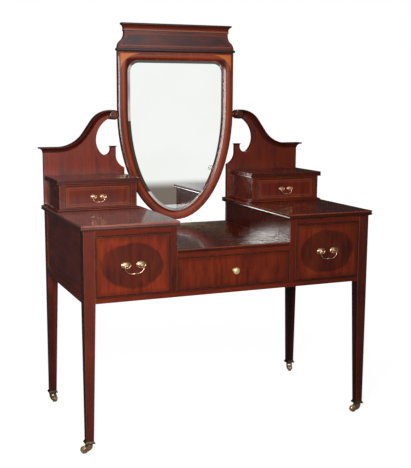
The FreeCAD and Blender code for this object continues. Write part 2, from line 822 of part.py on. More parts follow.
def bail(x, y, z, spacing, stand, wire, ball, drop, spread):
    # one many-sided bar: a pintle in each knuckle, a bow between them and a thicker grip
    pintle = spacing / 2 - ball - wire
    corner = 2 * wire
    bend = drop - corner
    stations = [((pintle, 0), 90, wire)]
    for turn in spaced(90, 0, corner_steps):
        stations.append((polar((spread - corner, -corner), corner, turn), turn, wire))
    for turn in spaced(0, -90, bend_steps)[1:]:
        stations.append((polar((spread - bend, -corner), bend, turn), turn, wire))
    grip = spread - bend
    for share, swell in zip(grip_shares, grip_swells):
        stations.append(((share * grip, -drop), -90, swell * wire))
    for (across_x, up), turn, size in reversed(stations[:-1]):
        stations.append(((-across_x, up), 180 - turn, size))
    rings = []
    for (across_x, up), turn, size in stations:
        lean = math.radians(turn)
        ring = []
        for side in range(bar_sides):
            around = math.radians(360 * (side + 1 / 2) / bar_sides)
            out = size * math.cos(around)
            ring.append(Vector(x + across_x + out * math.cos(lean), y - stand + size * math.sin(around),
                               z + up + out * math.sin(lean)))
        rings.append(ring)
    return skin(rings)


def bowed(start, corner, end, steps):
    # points of a curve that leaves the start and meets the end in the directions of the corner
    points = []
    for share in spaced(0, 1, steps):
        near, bend, far = (1 - share) ** 2, 2 * share * (1 - share), share ** 2
        points.append((near * start[0] + bend * corner[0] + far * end[0],
                       near * start[1] + bend * corner[1] + far * end[1]))
    return points


def spaced(start, end, steps):
    return [start + (end - start) * step / steps for step in range(steps + 1)]


def build_handles():
    deep_x = (partition_outer + leg_inner) / 2
    deep_z = (rail_top + deep_top) / 2 + drawer_gap
    plates = rosettes(deep_x, front_y, deep_z, deep_spacing, deep_plate_width, deep_plate_height, deep_stand,
                      deep_wire, deep_ball)
    save_pair("deep_drawer_rosettes", plates)
    save_pair("deep_drawer_bail", [bail(deep_x, front_y, deep_z, deep_spacing, deep_stand, deep_wire, deep_ball,
                                        deep_drop, deep_spread)])
    small_x = (box_inner + box_inner_stile + box_outer - box_outer_stile) / 2
    small_z = (pedestal_height + box_floor + box_case_top - box_top_rail) / 2
    plates = rosettes(small_x, box_front_y, small_z, small_spacing, small_plate_width, small_plate_height,
                      small_stand, small_wire, small_ball)
    save_pair("jewel_drawer_rosettes", plates)
    save_pair("jewel_drawer_bail", [bail(small_x, box_front_y, small_z, small_spacing, small_stand, small_wire,
                                         small_ball, small_drop, small_spread)])


# Casters
def widened(pair, extra):
    return (pair[0] - extra, pair[1] + extra)


def build_casters():
    x_foot, y_foot = leg_span(caster_height)
    cup_top = caster_height + cup_height
    flare_top = caster_height + cup_floor + cup_flare
    cup = frustum(x_foot, y_foot, caster_height, *leg_span(cup_top), cup_top)
    lip_x, lip_y = widened(x_foot, cup_lip), widened(y_foot, cup_lip)
    floor_top = caster_height + cup_floor
    lip = bounds_box(lip_x, lip_y, (caster_height, floor_top))
    flare = frustum(lip_x, lip_y, floor_top, *leg_span(flare_top), flare_top)
    cavity = frustum(*leg_span(floor_top, cup_wall), floor_top, *leg_span(cup_top, cup_wall), cup_top)
    centre = Vector(sum(x_foot) / 2, sum(y_foot) / 2, caster_height)
    hole = rod(centre, Vector(0, 0, 1), swivel_radius + pin_clearance, cup_floor)
    cup = cup.fuse([lip, flare]).removeSplitter().cut(cavity).cut(hole)
    cups = [cup, to_rear(cup)]
    save("caster_cups", cups + mirrored(cups))
    foot_x = centre.x
    rear_foot_y = front_y + rear_y - centre.y
    save_caster("front_right", foot_x, centre.y, front_trail_angle)
    save_caster("front_left", -foot_x, centre.y, front_trail_angle)
    save_caster("rear_right", foot_x, rear_foot_y, rear_right_trail_angle)
    save_caster("rear_left", -foot_x, rear_foot_y, rear_left_trail_angle)


def about_axle(along, side, up):
    return Vector(wheel_trail + side, along, wheel_radius + up)


def about_swivel(along, side, out):
    return Vector(side, out, along)


def save_caster(corner, x, y, trail_angle):
    inner = wheel_width / 2 + wheel_gap
    outer = inner + cheek_thickness
    boss_top = caster_height - swivel_gap
    boss_foot = boss_top - boss_height
    block_foot = 2 * wheel_radius + swivel_head_height
    reach = boss_radius - wheel_gap
    eye = (wheel_trail, wheel_radius)
    # a horn that curves from the boss down and forward to the axle
    nose = [polar(eye, axle_eye, turn) for turn in spaced(75, -90, horn_steps)]
    horn = bowed(nose[-1], (-reach, nose[-1][1]), (-reach, boss_foot), horn_steps)
    cheek = [(reach, boss_foot), (reach, block_foot)] + nose + horn[1:]
    block = bounds_box((-reach, reach), (-outer, outer), (block_foot, boss_foot))
    near = plate(cheek, inner, outer)
    far = plate(cheek, -outer, -inner)
    head_foot = caster_height + cup_floor + swivel_gap
    head_top = head_foot + swivel_head_height
    boss = skin(ring_loops([(boss_foot, boss_radius), (boss_top, boss_radius)], pin_sides, about_swivel))
    head = skin(ring_loops([(head_foot, swivel_head), (head_top, swivel_head)], pin_sides, about_swivel))
    pin = rod(about_swivel(boss_top, 0, 0), Vector(0, 0, 1), swivel_radius, head_foot - boss_top)
    axle = rod(about_axle(-inner, 0, 0), Vector(0, 1, 0), axle_radius, inner + inner)
    fork = block.fuse([near, far, boss, pin, head, axle]).removeSplitter()
    half = wheel_width / 2
    bore = axle_radius + pin_clearance
    tread = [(-half, wheel_radius - wheel_crown), (-half + wheel_crown, wheel_radius),
             (half - wheel_crown, wheel_radius), (half, wheel_radius - wheel_crown)]
    hole = rod(about_axle(-outer, 0, 0), Vector(0, 1, 0), bore, outer + outer)
    wheel = skin(ring_loops(tread, wheel_sides, about_axle)).cut(hole)
    placed = FreeCAD.Placement(Vector(x, y, 0), FreeCAD.Rotation(Vector(0, 0, 1), trail_angle))
    for name, solid in (("fork", fork), ("wheel", wheel)):
        solid.Placement = placed.multiply(solid.Placement)
        save(corner + "_caster_" + name, [solid])


def build_all():
    os.makedirs("parts", exist_ok=True)
    build_legs()
    build_sides()
    build_rails()
    build_partitions()
    build_back()
    build_runners()
    build_tops()
    build_boxes()
    build_brackets()
    build_mirror()
    build_mirror_head()
    build_drawers()
    build_handles()
    build_casters()


build_all()
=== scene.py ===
import math
from collections import namedtuple
from functools import reduce

import bmesh
import bpy
from mathutils import Matrix, Vector


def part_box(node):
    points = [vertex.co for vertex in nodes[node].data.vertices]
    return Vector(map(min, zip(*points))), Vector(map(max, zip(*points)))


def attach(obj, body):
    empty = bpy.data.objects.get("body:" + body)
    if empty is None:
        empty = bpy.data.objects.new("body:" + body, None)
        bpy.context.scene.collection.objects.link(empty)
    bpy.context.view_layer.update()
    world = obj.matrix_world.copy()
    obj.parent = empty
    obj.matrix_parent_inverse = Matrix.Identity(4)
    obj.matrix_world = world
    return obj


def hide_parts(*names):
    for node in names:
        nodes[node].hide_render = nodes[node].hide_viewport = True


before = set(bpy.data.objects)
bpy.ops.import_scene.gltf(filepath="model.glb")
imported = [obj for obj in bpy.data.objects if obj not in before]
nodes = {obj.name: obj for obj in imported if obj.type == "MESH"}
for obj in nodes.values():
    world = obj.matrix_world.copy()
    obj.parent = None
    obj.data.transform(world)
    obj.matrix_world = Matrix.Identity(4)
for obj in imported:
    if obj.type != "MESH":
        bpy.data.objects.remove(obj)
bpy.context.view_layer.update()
scene = bpy.context.scene
scene.view_settings.view_transform = "Standard"


# Camera: a hand-held view from the table's left front, a little above the pedestal tops.
# The small shift stands for the picture's crop.
def placed(name, data):
    thing = bpy.data.objects.new(name, data)
    scene.collection.objects.link(thing)
    return thing


camera_place = (-1.4047, -3.3157, 1.3462)
camera_yaw, camera_dip, camera_roll = -0.3843, 0.1604, 0.003
camera_data = bpy.data.cameras.new("camera")
camera_data.lens = 66.09
camera_data.sensor_width = 36.0
camera_data.shift_x = 0.0331
camera = placed("camera", camera_data)
camera.matrix_world = (Matrix.Translation(camera_place) @ Matrix.Rotation(camera_yaw, 4, "Z")
                       @ Matrix.Rotation(math.pi / 2 - camera_dip, 4, "X")
                       @ Matrix.Rotation(camera_roll, 4, "Z"))
scene.camera = camera


# Studio: one soft lamp at the left front, weaker ones beside and overhead, and a pale floor. Polished wood
# and brass meet a dim room with a window behind the camera; the looking glass meets a pale wall.
def soft_lamp(name, place, aim, width, height, power, colour):
    lamp_data = bpy.data.lights.new(name, "AREA")
    lamp_data.shape = "RECTANGLE"
    lamp_data.size = width
    lamp_data.size_y = height
    lamp_data.energy = power
    lamp_data.color = colour
    lamp = placed(name, lamp_data)
    lamp.location = place
    lamp.rotation_euler = (Vector(aim) - Vector(place)).to_track_quat("-Z", "Y").to_euler()


soft_lamp("front_lamp", (-0.9, -2.0, 1.25), (-0.1, 0.0, 0.8), 0.8, 0.9, 36.0, (1.0, 0.98, 0.96))
soft_lamp("side_lamp", (-2.4, -0.5, 1.25), (-0.5, 0.0, 0.9), 0.6, 0.6, 3.0, (1.0, 0.95, 0.92))
soft_lamp("top_lamp", (-0.5, 0.0, 3.0), (-0.3, 0.0, 0.8), 1.4, 1.2, 8.0, (0.97, 0.98, 1.0))


class Flow:
    # what a socket gives; the ordinary signs add maths nodes to its tree
    def __init__(self, socket):
        self.socket = socket
        self.tree = socket.id_data

    def __add__(self, other):
        return maths("ADD", self, other)

    def __sub__(self, other):
        return maths("SUBTRACT", self, other)

    def __rsub__(self, other):
        return maths("SUBTRACT", other, self)

    def __mul__(self, other):
        return maths("MULTIPLY", self, other)

    def __truediv__(self, other):
        return maths("DIVIDE", self, other)

    def __rtruediv__(self, other):
        return maths("DIVIDE", other, self)

    def __pow__(self, other):
        return maths("POWER", self, other)

    def __abs__(self):
        return maths("ABSOLUTE", self)


def feed(socket, value):
    # a flow is linked to the socket, a plain value is written on it; colours are given without alpha
    if isinstance(value, Flow):
        socket.id_data.links.new(value.socket, socket)
    elif value is not None:
        socket.default_value = value + (1,) if socket.type == "RGBA" else value


def fed(node, *values, **named):
    # values go to the first sockets in their order, named ones to the socket of that name
    for at, value in enumerate(values):
        feed(node.inputs[at], value)
    for name, value in named.items():
        feed(node.inputs[name.replace("_", " ")], value)
    return node


def add_node(tree, kind, *values, **settings):
    # a short kind is one of the tree's own; a name with a capital is a socket's, any other an option's
    node = tree.nodes.new(kind if "Node" in kind else tree.bl_idname[:-4] + kind)
    named = {}
    for name, value in settings.items():
        if name[0].isupper():
            named[name] = value
        else:
            setattr(node, name, value)
    return fed(node, *values, **named)


def flow(tree, kind, *values, out=0, **settings):
    return Flow(add_node(tree, kind, *values, **settings).outputs[out])


def flows(node):
    return {socket.name: Flow(socket) for socket in node.outputs if socket.name}


def tree_of(*values):
    return next(value.tree for value in values if isinstance(value, Flow))


def maths(operation, first, second=None, clamp=False):
    return flow(tree_of(first, second), "ShaderNodeMath", first, second, operation=operation, use_clamp=clamp)


def least(first, second):
    return maths("MINIMUM", first, second)


def most(first, second):
    return maths("MAXIMUM", first, second)


def fade(value, low, high, to_low=0.0, to_high=1.0):
    # a smooth step from one value at low to the other at high
    return flow(value.tree, "MapRange", out="Result", interpolation_type="SMOOTHSTEP", Value=value,
                From_Min=low, From_Max=high, To_Min=to_low, To_Max=to_high)


def mixed(share, first, second, way="MIX"):
    # a Mix node has its colours in sockets 6 and 7
    node = add_node(tree_of(share, first, second), "Mix", share, data_type="RGBA", blend_type=way)
    feed(node.inputs[6], first)
    feed(node.inputs[7], second)
    return Flow(node.outputs[2])


def noise(place, scale, detail=3.0, roughness=0.5, distortion=0.0):
    # a scale with three parts stretches the pattern
    if isinstance(scale, tuple):
        place = vector_maths("MULTIPLY", place, scale)
        scale = 1.0
    return flow(place.tree, "TexNoise", out="Fac", Vector=place, Scale=scale, Detail=detail,
                Roughness=roughness, Distortion=distortion)


def vector_maths(operation, first, second=None, **more):
    return flow(first.tree, "ShaderNodeVectorMath", first, second, operation=operation, **more)


def apart(vector):
    return list(flows(add_node(vector.tree, "SeparateXYZ", vector)).values())


def either(share, first, second):
    # the first shader where the share is nought, the second where it is one
    return flow(share.tree, "MixShader", share, first, second)


def new_material(name):
    material = bpy.data.materials.new(name)
    material.use_nodes = True
    tree = material.node_tree
    return material, tree.nodes["Principled BSDF"], flow(tree, "TexCoord", out="Object")


room_dark, window_light, wall_light, glow_light = 0.025, 2.3, 0.24, 3.0
ambient_light, fill_light = 0.11, 0.32
blotch = 9.0
scene.world = bpy.data.worlds.new("studio_world")
scene.world.use_nodes = True
wt = scene.world.node_tree
wt.nodes.clear()
ray = flows(add_node(wt, "LightPath"))
direction = flow(wt, "TexCoord", out="Generated")
aside, inward, upward = apart(direction)
window = (fade(inward, -0.45, -0.75) * fade(aside, 0.46, 0.30) * fade(aside, -0.2, 0.1)
          * fade(upward, -0.06, 0.04) * fade(upward, 0.02, 0.10, 1.0, 0.6))
wall = fade(inward, 0.4, 0.7) * fade(aside, 0.14, 0.24) * fade(aside, 0.37, 0.33) * fade(upward, 0.02, 0.07)
glow = wall * fade(aside, 0.28, 0.32) * fade(aside, 0.365, 0.34) * fade(upward, 0.10, 0.12)
room = window * window_light + (wall * wall_light + glow * glow_light) + room_dark
gloss = flow(wt, "Background", Strength=room,
             Color=mixed(fade(glow, 0.0, 0.25), (0.96, 0.98, 1.0), (1.0, 0.88, 0.52)))
# a soft fill from behind and from the right lights the sides that the lamps leave dark
fill = most(fade(inward, 0.3, 0.8), fade(aside, 0.3, 0.8) * fade(inward, -0.2, 0.1))
ambient = flow(wt, "Background", Color=(0.95, 0.97, 1.0),
               Strength=fill * fill_light * fade(upward, 0.5, 0.2) + ambient_light)
# the bevel of the looking glass turns away from the pale wall to the darker parts of the room
wander = (noise(direction, blotch, 4.0) - 0.5) * 0.25
clear = (fade(aside + wander, 0.55, 0.46) * fade(aside + wander, 0.06, 0.17)
         * fade(upward + wander, 0.16, 0.09))
pale = flow(wt, "Background", Color=(0.97, 0.985, 0.965), Strength=clear * 0.87 + 0.10)
white = flow(wt, "Background", Color=(1, 1, 1), Strength=1.0)
seen = most(ray["Is Camera Ray"], ray["Is Transmission Ray"])
mirrored_room = either(ray["Is Singular Ray"], gloss, pale)
add_node(wt, "OutputWorld", either(seen, either(ray["Is Glossy Ray"], ambient, mirrored_room), white))

floor_reach, floor_level = 30.0, -0.0005
floor_mesh = bpy.data.meshes.new("floor")
floor_mesh.from_pydata([(floor_reach * x, floor_reach * y, floor_level)
                        for x, y in ((-1, -1), (1, -1), (1, 1), (-1, 1))], [], [(0, 1, 2, 3)])
floor = placed("floor", floor_mesh)
floor_paint, floor_shader, floor_place = new_material("pale_floor")
ft = floor_paint.node_tree
fed(floor_shader, Base_Color=(0.35, 0.35, 0.35), Roughness=1.0, Specular_IOR_Level=0.0)
ray = flows(add_node(ft, "LightPath"))
floor_x, floor_y = apart(floor_place)[:2]
from_table = maths("SQRT", floor_x * floor_x + floor_y * floor_y)
floor_glow = flow(ft, "Emission", Strength=ray["Is Camera Ray"] * fade(from_table, 0.8, 3.0, 0.91, 1.0))
lit_floor = flow(ft, "AddShader", Flow(floor_shader.outputs[0]), floor_glow)
dim_floor = flow(ft, "Emission", Color=(0.9, 0.92, 1.0), Strength=0.045)
# the looking glass sees the floor dim near the table and as pale as the wall far off
far_colour = mixed(fade(floor_y, -7.6, -9.2), (0.2, 0.165, 0.14), (0.941, 0.955, 0.936))
ratio = floor_x / most(0.33 - floor_y, 0.1)
floor_spot = flow(ft, "CombineXYZ", ratio, 3.0 / floor_y)
floor_wander = ratio + (noise(floor_spot, blotch, 4.0) - 0.5) * 0.2
floor_clear = fade(floor_wander, 0.20, 0.27) * fade(floor_wander, 0.58, 0.50)
far_floor = flow(ft, "Emission", Color=mixed(floor_clear, (0.045, 0.05, 0.04), far_colour))
mirrored_floor = either(ray["Is Singular Ray"], dim_floor, far_floor)
fed(ft.nodes["Material Output"], Surface=either(ray["Is Glossy Ray"], lit_floor, mirrored_floor))
floor_mesh.materials.append(floor_paint)


# Legs: four square mahogany posts, tapered on their inner faces below the frame, under old French polish.
# The grain runs down the post; a faint string is let in beside the inner front edge.
def group_tree(name, kind, inputs, outputs):
    tree = bpy.data.node_groups.new(name, kind)
    for way, sockets in (("INPUT", inputs), ("OUTPUT", outputs)):
        for socket, socket_kind in sockets.items():
            tree.interface.new_socket(socket, in_out=way, socket_type="NodeSocket" + socket_kind)
    return tree, flows(tree.nodes.new("NodeGroupInput")), tree.nodes.new("NodeGroupOutput")


def shader_tree(name, outputs, **inputs):
    return group_tree(name, "ShaderNodeTree", {"Vector": "Vector", **inputs}, outputs)


surface = {"Color": "Color", "Roughness": "Float", "Height": "Float"}
grain_tree, given, result = shader_tree("mahogany_grain", surface, Dark="Color", Base="Color", Light="Color",
                                        Figure="Float")
along = given["Vector"]
cloud = noise(along, (4.5, 14.0, 14.0), 4.0, 0.6, 0.5)
streak = noise(along, (3.0, 150.0, 150.0), 5.0, 0.6, 0.6)
pores = fade(noise(along, (35.0, 900.0, 900.0), 2.0), 0.6, 0.72)
flame = flow(grain_tree, "TexWave", out="Fac", wave_type="BANDS", bands_direction="Y",
             Vector=vector_maths("MULTIPLY", along, (1.2, 7.0, 7.0)), Scale=4.5, Distortion=7.0, Detail=3.0,
             Detail_Scale=1.4)
tone = cloud * 0.8 + streak * 0.3 + flame * given["Figure"] * 0.22
wood = mixed(fade(tone, 0.3, 0.64), given["Dark"], given["Base"])
wood = mixed(fade(tone, 0.58, 0.9), wood, given["Light"])
fed(result, Color=mixed(pores * 0.35, wood, given["Dark"]), Roughness=fade(cloud, 0.25, 0.75, 0.30, 0.22),
    Height=streak * 0.35 - pores * 0.5)

# The rubbed mask is strong along the edges of a box-shaped piece, where the middle one of the three
# distances to its faces is small.
rub_tree, given, result = shader_tree("rubbed_edges", {"Mask": "Float"}, Centre="Vector", Half="Vector",
                                      Width="Float")
offset = vector_maths("ABSOLUTE", vector_maths("SUBTRACT", given["Vector"], given["Centre"]))
to_side, to_front, to_top = apart(vector_maths("SUBTRACT", given["Half"], offset))
middle = most(least(to_side, to_front), least(most(to_side, to_front), to_top))
reach = given["Width"] * (noise(given["Vector"], 38.0, 4.0, 0.65) * 2.0)
fed(result, Mask=maths("SUBTRACT", 1.0, middle / reach, clamp=True))


def grouped(source, place, **values):
    return flows(add_node(place.tree, "Group", node_tree=source, Vector=place, **values))


def box_of(node):
    low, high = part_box(node)
    return (low + high) / 2, (high - low) / 2


def from_edge(value, middle_at, half_width):
    # distance inward from the nearer of two edges
    return half_width - abs(value - middle_at)


def line_at(distance, place, width):
    return fade(abs(distance - place), width * 0.35, width * 0.65, 1.0, 0.0)


def on_face(y, face_y, near=0.0004, far=0.0008):
    # one on the front face, and nought a little way behind it
    return fade(y, face_y + far, face_y + near)


def toned(colour, share, factor):
    # the colour times the factor where the share is one
    return mixed(1.0, colour, mixed(share, (1, 1, 1), factor), "MULTIPLY")


weld_gap = 0.00002
grain_turns = {"X": (0, 0, 0), "Y": (0, 0, math.pi / 2), "Z": (0, math.pi / 2, 0)}
string_colour = (0.42, 0.15, 0.06)
worn_colour = (0.36, 0.11, 0.045)
# near-black for dark joints and for painted shade in seams, hollows and under the tops
dark_joint_and_shade = (0.02, 0.006, 0.004)
red_tones = ((0.055, 0.0082, 0.0045), (0.17, 0.0205, 0.0075), (0.27, 0.038, 0.012))
leg_tones = ((0.05, 0.011, 0.008), (0.158, 0.027, 0.015), (0.25, 0.046, 0.024))


def mahogany(node, grain, seed, inlay=None, tint=1.0, figure=0.4, wear=0.4, rub=0.0022, coat=0.3,
             relief=0.12, tones=red_tones, finish="_polish"):
    # tones are the dark, the middle and the light colour of the wood; an inlay is called with the
    # position and the colour, and gives the colour back
    material, shader, place = new_material(node + finish)
    tree = place.tree
    board = flow(tree, "Mapping", Vector=place, Location=(seed, seed * 1.7, seed * 0.6),
                 Rotation=grain_turns[grain])
    dark, base, light = [tuple(channel * tint for channel in tone) for tone in tones]
    wood = grouped(grain_tree, board, Dark=dark, Base=base, Light=light, Figure=figure)
    colour = wood["Color"]
    if inlay:
        colour = inlay(place, colour)
    centre, half = box_of(node)
    rubbed = grouped(rub_tree, place, Centre=centre, Half=half, Width=rub)["Mask"]
    worn = maths("MULTIPLY", rubbed, wear, clamp=True)
    fed(shader, Base_Color=mixed(worn, colour, worn_colour),
        Roughness=maths("ADD", wood["Roughness"], worn * 0.25, clamp=True),
        Normal=flow(tree, "Bump", Strength=relief, Distance=0.0006, Height=wood["Height"]),
        Coat_Weight=coat, Coat_Roughness=0.12, IOR=1.45)
    return material


def dress(node, material):
    mesh = nodes[node].data
    mesh.materials.clear()
    mesh.materials.append(material)


def polish(node, grain, seed, inlay=None, **looks):
    dress(node, mahogany(node, grain, seed, inlay, **looks))


def soften(node, width=0.0009):
    # a polished arris is never knife-sharp
    weld = nodes[node].modifiers.new("weld", "WELD")
    weld.merge_threshold = weld_gap
    bevel = nodes[node].modifiers.new("arris", "BEVEL")
    bevel.width = width
    bevel.segments = 2
    bevel.limit_method = "ANGLE"
    bevel.angle_limit = math.radians(40)


leg_size = 0.044
leg_break = 0.580
leg_taper = 14.5 / 541.0


def leg_string_and_shade(node, shaded):
    # a line 2.5 mm in from the inner edge of the front face, painted shade on the left face, and a painted
    # shadow under the top
    low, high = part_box(node)
    inner_edge = max(high.x, -low.x) - leg_size
    middle_x = (low.x + high.x) / 2

    def inlay(place, colour):
        x, y, z = apart(place)
        from_inner = abs(x) - inner_edge - most(leg_break - z, 0.0) * leg_taper
        mask = line_at(from_inner, 0.0025, 0.0016) * on_face(y, low.y)
        colour = mixed(mask * 0.18, colour, string_colour)
        # painted shade: the face turned to the left is darkened by the shaded factor
        left_face_shade = fade(y, low.y + 0.0008, low.y + 0.003) * fade(x, middle_x + 0.012, middle_x - 0.006)
        colour = toned(colour, left_face_shade, (shaded,) * 3)
        # painted shadow along the top of the leg, under the pedestal top
        return mixed(fade(z, 0.849, 0.856) * 0.7, colour, dark_joint_and_shade)
    return inlay


# the tints are painted light: the left legs are lighter and the right ones darker, as the light falls off
# across the table
for at, (corner, tint, shaded) in enumerate((("front_left", 0.86, 0.4), ("front_right", 0.6, 0.4),
                                             ("rear_left", 1.3, 0.6), ("rear_right", 0.42, 0.4))):
    node = corner + "_leg"
    polish(node, "Z", at * 3.1, leg_string_and_shade(node, shaded), tint=tint, tones=leg_tones, figure=0.2)
    soften(node)


# Sides: a plain panel between each pair of legs over a bottom rail, all solid mahogany with the grain
# running front to back, tongued into the legs.
for at, node in enumerate(("left_side_panel", "right_side_panel", "side_bottom_rails")):
    polish(node, "Y", 14 + at * 2.3, tint=1.08, figure=0.25)
    soften(node)


# Partitions and front rails: thin mahogany faces glued on the carcass; the drawers lie flush between them.
# Dark lines at the seams round the drawers and under the tops are dark joints widened by painted shade.
def face_string(face_y, uprights, levels, width=0.0014, strength=0.4, shade=string_colour, behind=1.0):
    # lines at these distances from the middle and at these heights; behind is the tone past the face, a
    # painted shade where it is below one
    def inlay(place, colour):
        x, y, z = apart(place)
        lines = [line_at(abs(x), edge, width) for edge in uprights]
        lines += [line_at(z, edge, width) for edge in levels]
        colour = toned(colour, fade(y, face_y + 0.0008, face_y + 0.003), (behind,) * 3)
        return mixed(reduce(most, lines) * on_face(y, face_y) * strength, colour, shade)
    return inlay


front_face = -0.3135
pedestal_middle = 0.4175
partition_faces = (0.2435, 0.2695)
top_seam = 0.858
rail_seams = (0.602, 0.832, top_seam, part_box("centre_top")[0].z)
# the right partition's face past the front is darkened to half as painted shade
for at, (side, behind) in enumerate((("left", 1.0), ("right", 0.5))):
    node = side + "_partition"
    polish(node, "Z", 21 + at * 2.7,
           face_string(front_face, partition_faces, (top_seam,), 0.007, 0.75, dark_joint_and_shade, behind), tint=0.82)
    soften(node)
polish("front_rails", "X", 27.3, face_string(front_face, (), rail_seams, 0.008, 0.7, dark_joint_and_shade), tint=0.92)
soften("front_rails")


# Secondary wood: the back board, drawer runners and mirror back are plain sawn pine, left unpolished and
# gone brown with age.
pine_tones = ((0.14, 0.062, 0.024), (0.34, 0.175, 0.078), (0.50, 0.29, 0.145))


def leave_bare(node, grain, seed, inlay=None):
    polish(node, grain, seed, inlay, figure=0.3, wear=0.0, coat=0.0, tones=pine_tones, finish="_wood")
    soften(node, 0.0006)


for at, (node, grain) in enumerate((("back_panel", "X"), ("drawer_runners", "Y"), ("mirror_backboard", "Z"))):
    leave_bare(node, grain, 90 + at * 1.9)


# Tops: the two pedestal tops carry a thumb moulding on their free edges; the kneehole top is thinner with
# a rounded nosing. Solid mahogany; the left one has paler, pinker tones painted for the sheen of light on it.
def folded(geometry, crease):
    # smooth faces, and sharp edges where the fold is past the crease angle
    tree = geometry.tree
    smooth = flow(tree, "SetShadeSmooth", domain="FACE", Geometry=geometry)
    angle = flow(tree, "InputMeshEdgeAngle", out="Unsigned Angle")
    past = flow(tree, "FunctionNodeCompare", angle, crease, data_type="FLOAT", operation="GREATER_THAN")
    return flow(tree, "SetShadeSmooth", domain="EDGE", Geometry=smooth, Selection=past, Shade_Smooth=False)


def add_nodes_modifier(thing, tree, **values):
    modifier = thing.modifiers.new(tree.name, "NODES")
    modifier.node_group = tree
    for socket in tree.interface.items_tree:
        if socket.in_out == "INPUT" and socket.name in values:
            modifier[socket.identifier] = values[socket.name]
    return modifier


def geometry_tree(name, **inputs):
    return group_tree(name, "GeometryNodeTree", {"Geometry": "Geometry", **inputs}, {"Geometry": "Geometry"})


shade_tree, given, result = geometry_tree("polished_curves", Crease="Float")
welded = flow(shade_tree, "MergeByDistance", Geometry=given["Geometry"], Distance=weld_gap)
fed(result, folded(welded, given["Crease"]))


def round_off(node, crease=22.0):
    # curved faces are shaded as curves up to the crease angle
    add_nodes_modifier(nodes[node], shade_tree, Crease=math.radians(crease))


def edge_light_and_shade(node):
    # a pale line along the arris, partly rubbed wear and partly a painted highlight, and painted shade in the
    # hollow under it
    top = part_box(node)[1].z

    def inlay(place, colour):
        depth = top - apart(place)[2]
        colour = mixed(line_at(depth, 0.0022, 0.0030) * 0.35, colour, (0.42, 0.17, 0.10))
        return mixed(fade(depth, 0.006, 0.011, 0.0, 0.75), colour, dark_joint_and_shade)
    return inlay


sheen_tones = ((0.12, 0.045, 0.038), (0.32, 0.105, 0.085), (0.44, 0.17, 0.14))
for at, (node, grain, tint, tones) in enumerate((("left_pedestal_top", "Y", 1.0, sheen_tones),
                                                 ("right_pedestal_top", "Y", 0.8, red_tones),
                                                 ("centre_top", "X", 0.6, red_tones))):
    polish(node, grain, 33 + at * 2.9, edge_light_and_shade(node), tint=tint, coat=0.5, wear=0.6, relief=0.05,
           tones=tones)
    round_off(node)


# Jewel boxes: a small case on each pedestal with a moulded foot and a top like the pedestal's. A string
# runs down each stile of the front.
box_front = 0.0895
box_strings = (0.275, 0.292, 0.5785, 0.5955)
for at, side in enumerate(("left", "right")):
    node = side + "_jewel_box_case"
    polish(node, "X", 41 + at * 2.1, face_string(box_front, box_strings, ()), tint=0.85)
    soften(node)
    node = side + "_jewel_box_base_moulding"
    polish(node, "X", 46 + at, tint=0.9)
    round_off(node)
    node = side + "_jewel_box_top"
    polish(node, "X", 49 + at * 1.3, tint=0.55, coat=0.5, relief=0.05)
    round_off(node)


# Mirror brackets: a fretted board stands behind each jewel box, sawn from one wide plank with a scrolled
# hole and an ear, its grain upright.
# the left board is tinted lighter than the right as painted light
for at, (side, tint) in enumerate((("left", 1.5), ("right", 1.05))):
    node = side + "_mirror_bracket"
    polish(node, "Z", 55 + at * 3.3, tint=tint, rub=0.003)
    round_off(node)


# Bracket cornices: a cove moulding runs along the top of each bracket, mitred at its outer end, down
# through the hollow of the neck and up over the crest to a turned roll, with a small cap on the ear.
def named_attribute(tree, name, kind):
    return flow(tree, "InputNamedAttribute", out="Attribute", data_type=kind, Name=name)


def folded_and_dressed(geometry, given):
    real = flow(geometry.tree, "RealizeInstances", Geometry=folded(geometry, given["Crease"]))
    return flow(geometry.tree, "SetMaterial", Geometry=real, Material=given["Material"])


sweep_tree, given, result = geometry_tree("moulding_sweep", Profile="Object", Reach="Float", Height="Float",
                                          Crease="Float", Material="Material")
path = flow(sweep_tree, "MeshToCurve", Mesh=given["Geometry"])
facing = flow(sweep_tree, "SetCurveNormal", mode="FREE", Curve=path,
              Normal=named_attribute(sweep_tree, "outward", "FLOAT_VECTOR"))
here = flow(sweep_tree, "InputPosition")
capture = add_node(sweep_tree, "CaptureAttribute")
capture.capture_items.new("VECTOR", "Station")
kept = flows(fed(capture, facing, Station=here))
shape = flow(sweep_tree, "ObjectInfo", out="Geometry", Object=given["Profile"])
outline = flow(sweep_tree, "MeshToCurve", Mesh=shape)
size = flow(sweep_tree, "ShaderNodeCombineXYZ", given["Reach"], given["Height"], 1.0)
sized = flow(sweep_tree, "Transform", Geometry=outline, Scale=size)
swept = flow(sweep_tree, "CurveToMesh", Curve=kept["Geometry"], Profile_Curve=sized, Fill_Caps=True)
# at the mitre the profile is drawn out level along the corner's bisector
outreach = vector_maths("SUBTRACT", here, kept["Station"])
drawn = vector_maths("SCALE", vector_maths("MULTIPLY", outreach, (1, 1, 0)),
                     Scale=named_attribute(sweep_tree, "mitre", "FLOAT"))
mitred = flow(sweep_tree, "SetPosition", Geometry=swept, Offset=drawn)
welded = flow(sweep_tree, "MergeByDistance", Geometry=mitred, Distance=weld_gap)
fed(result, folded_and_dressed(welded, given))


def line_mesh(name, points, closed=False, **attributes):
    mesh = bpy.data.meshes.new(name)
    links = [(at, at + 1) for at in range(len(points) - 1)] + ([(len(points) - 1, 0)] if closed else [])
    mesh.from_pydata(points, links, [])
    for attribute, values in attributes.items():
        kind, field = ("FLOAT_VECTOR", "vector") if isinstance(values[0], tuple) else ("FLOAT", "value")
        layer = mesh.attributes.new(attribute, kind, "POINT")
        for point, value in zip(layer.data, values):
            setattr(point, field, value)
    return placed(name, mesh)


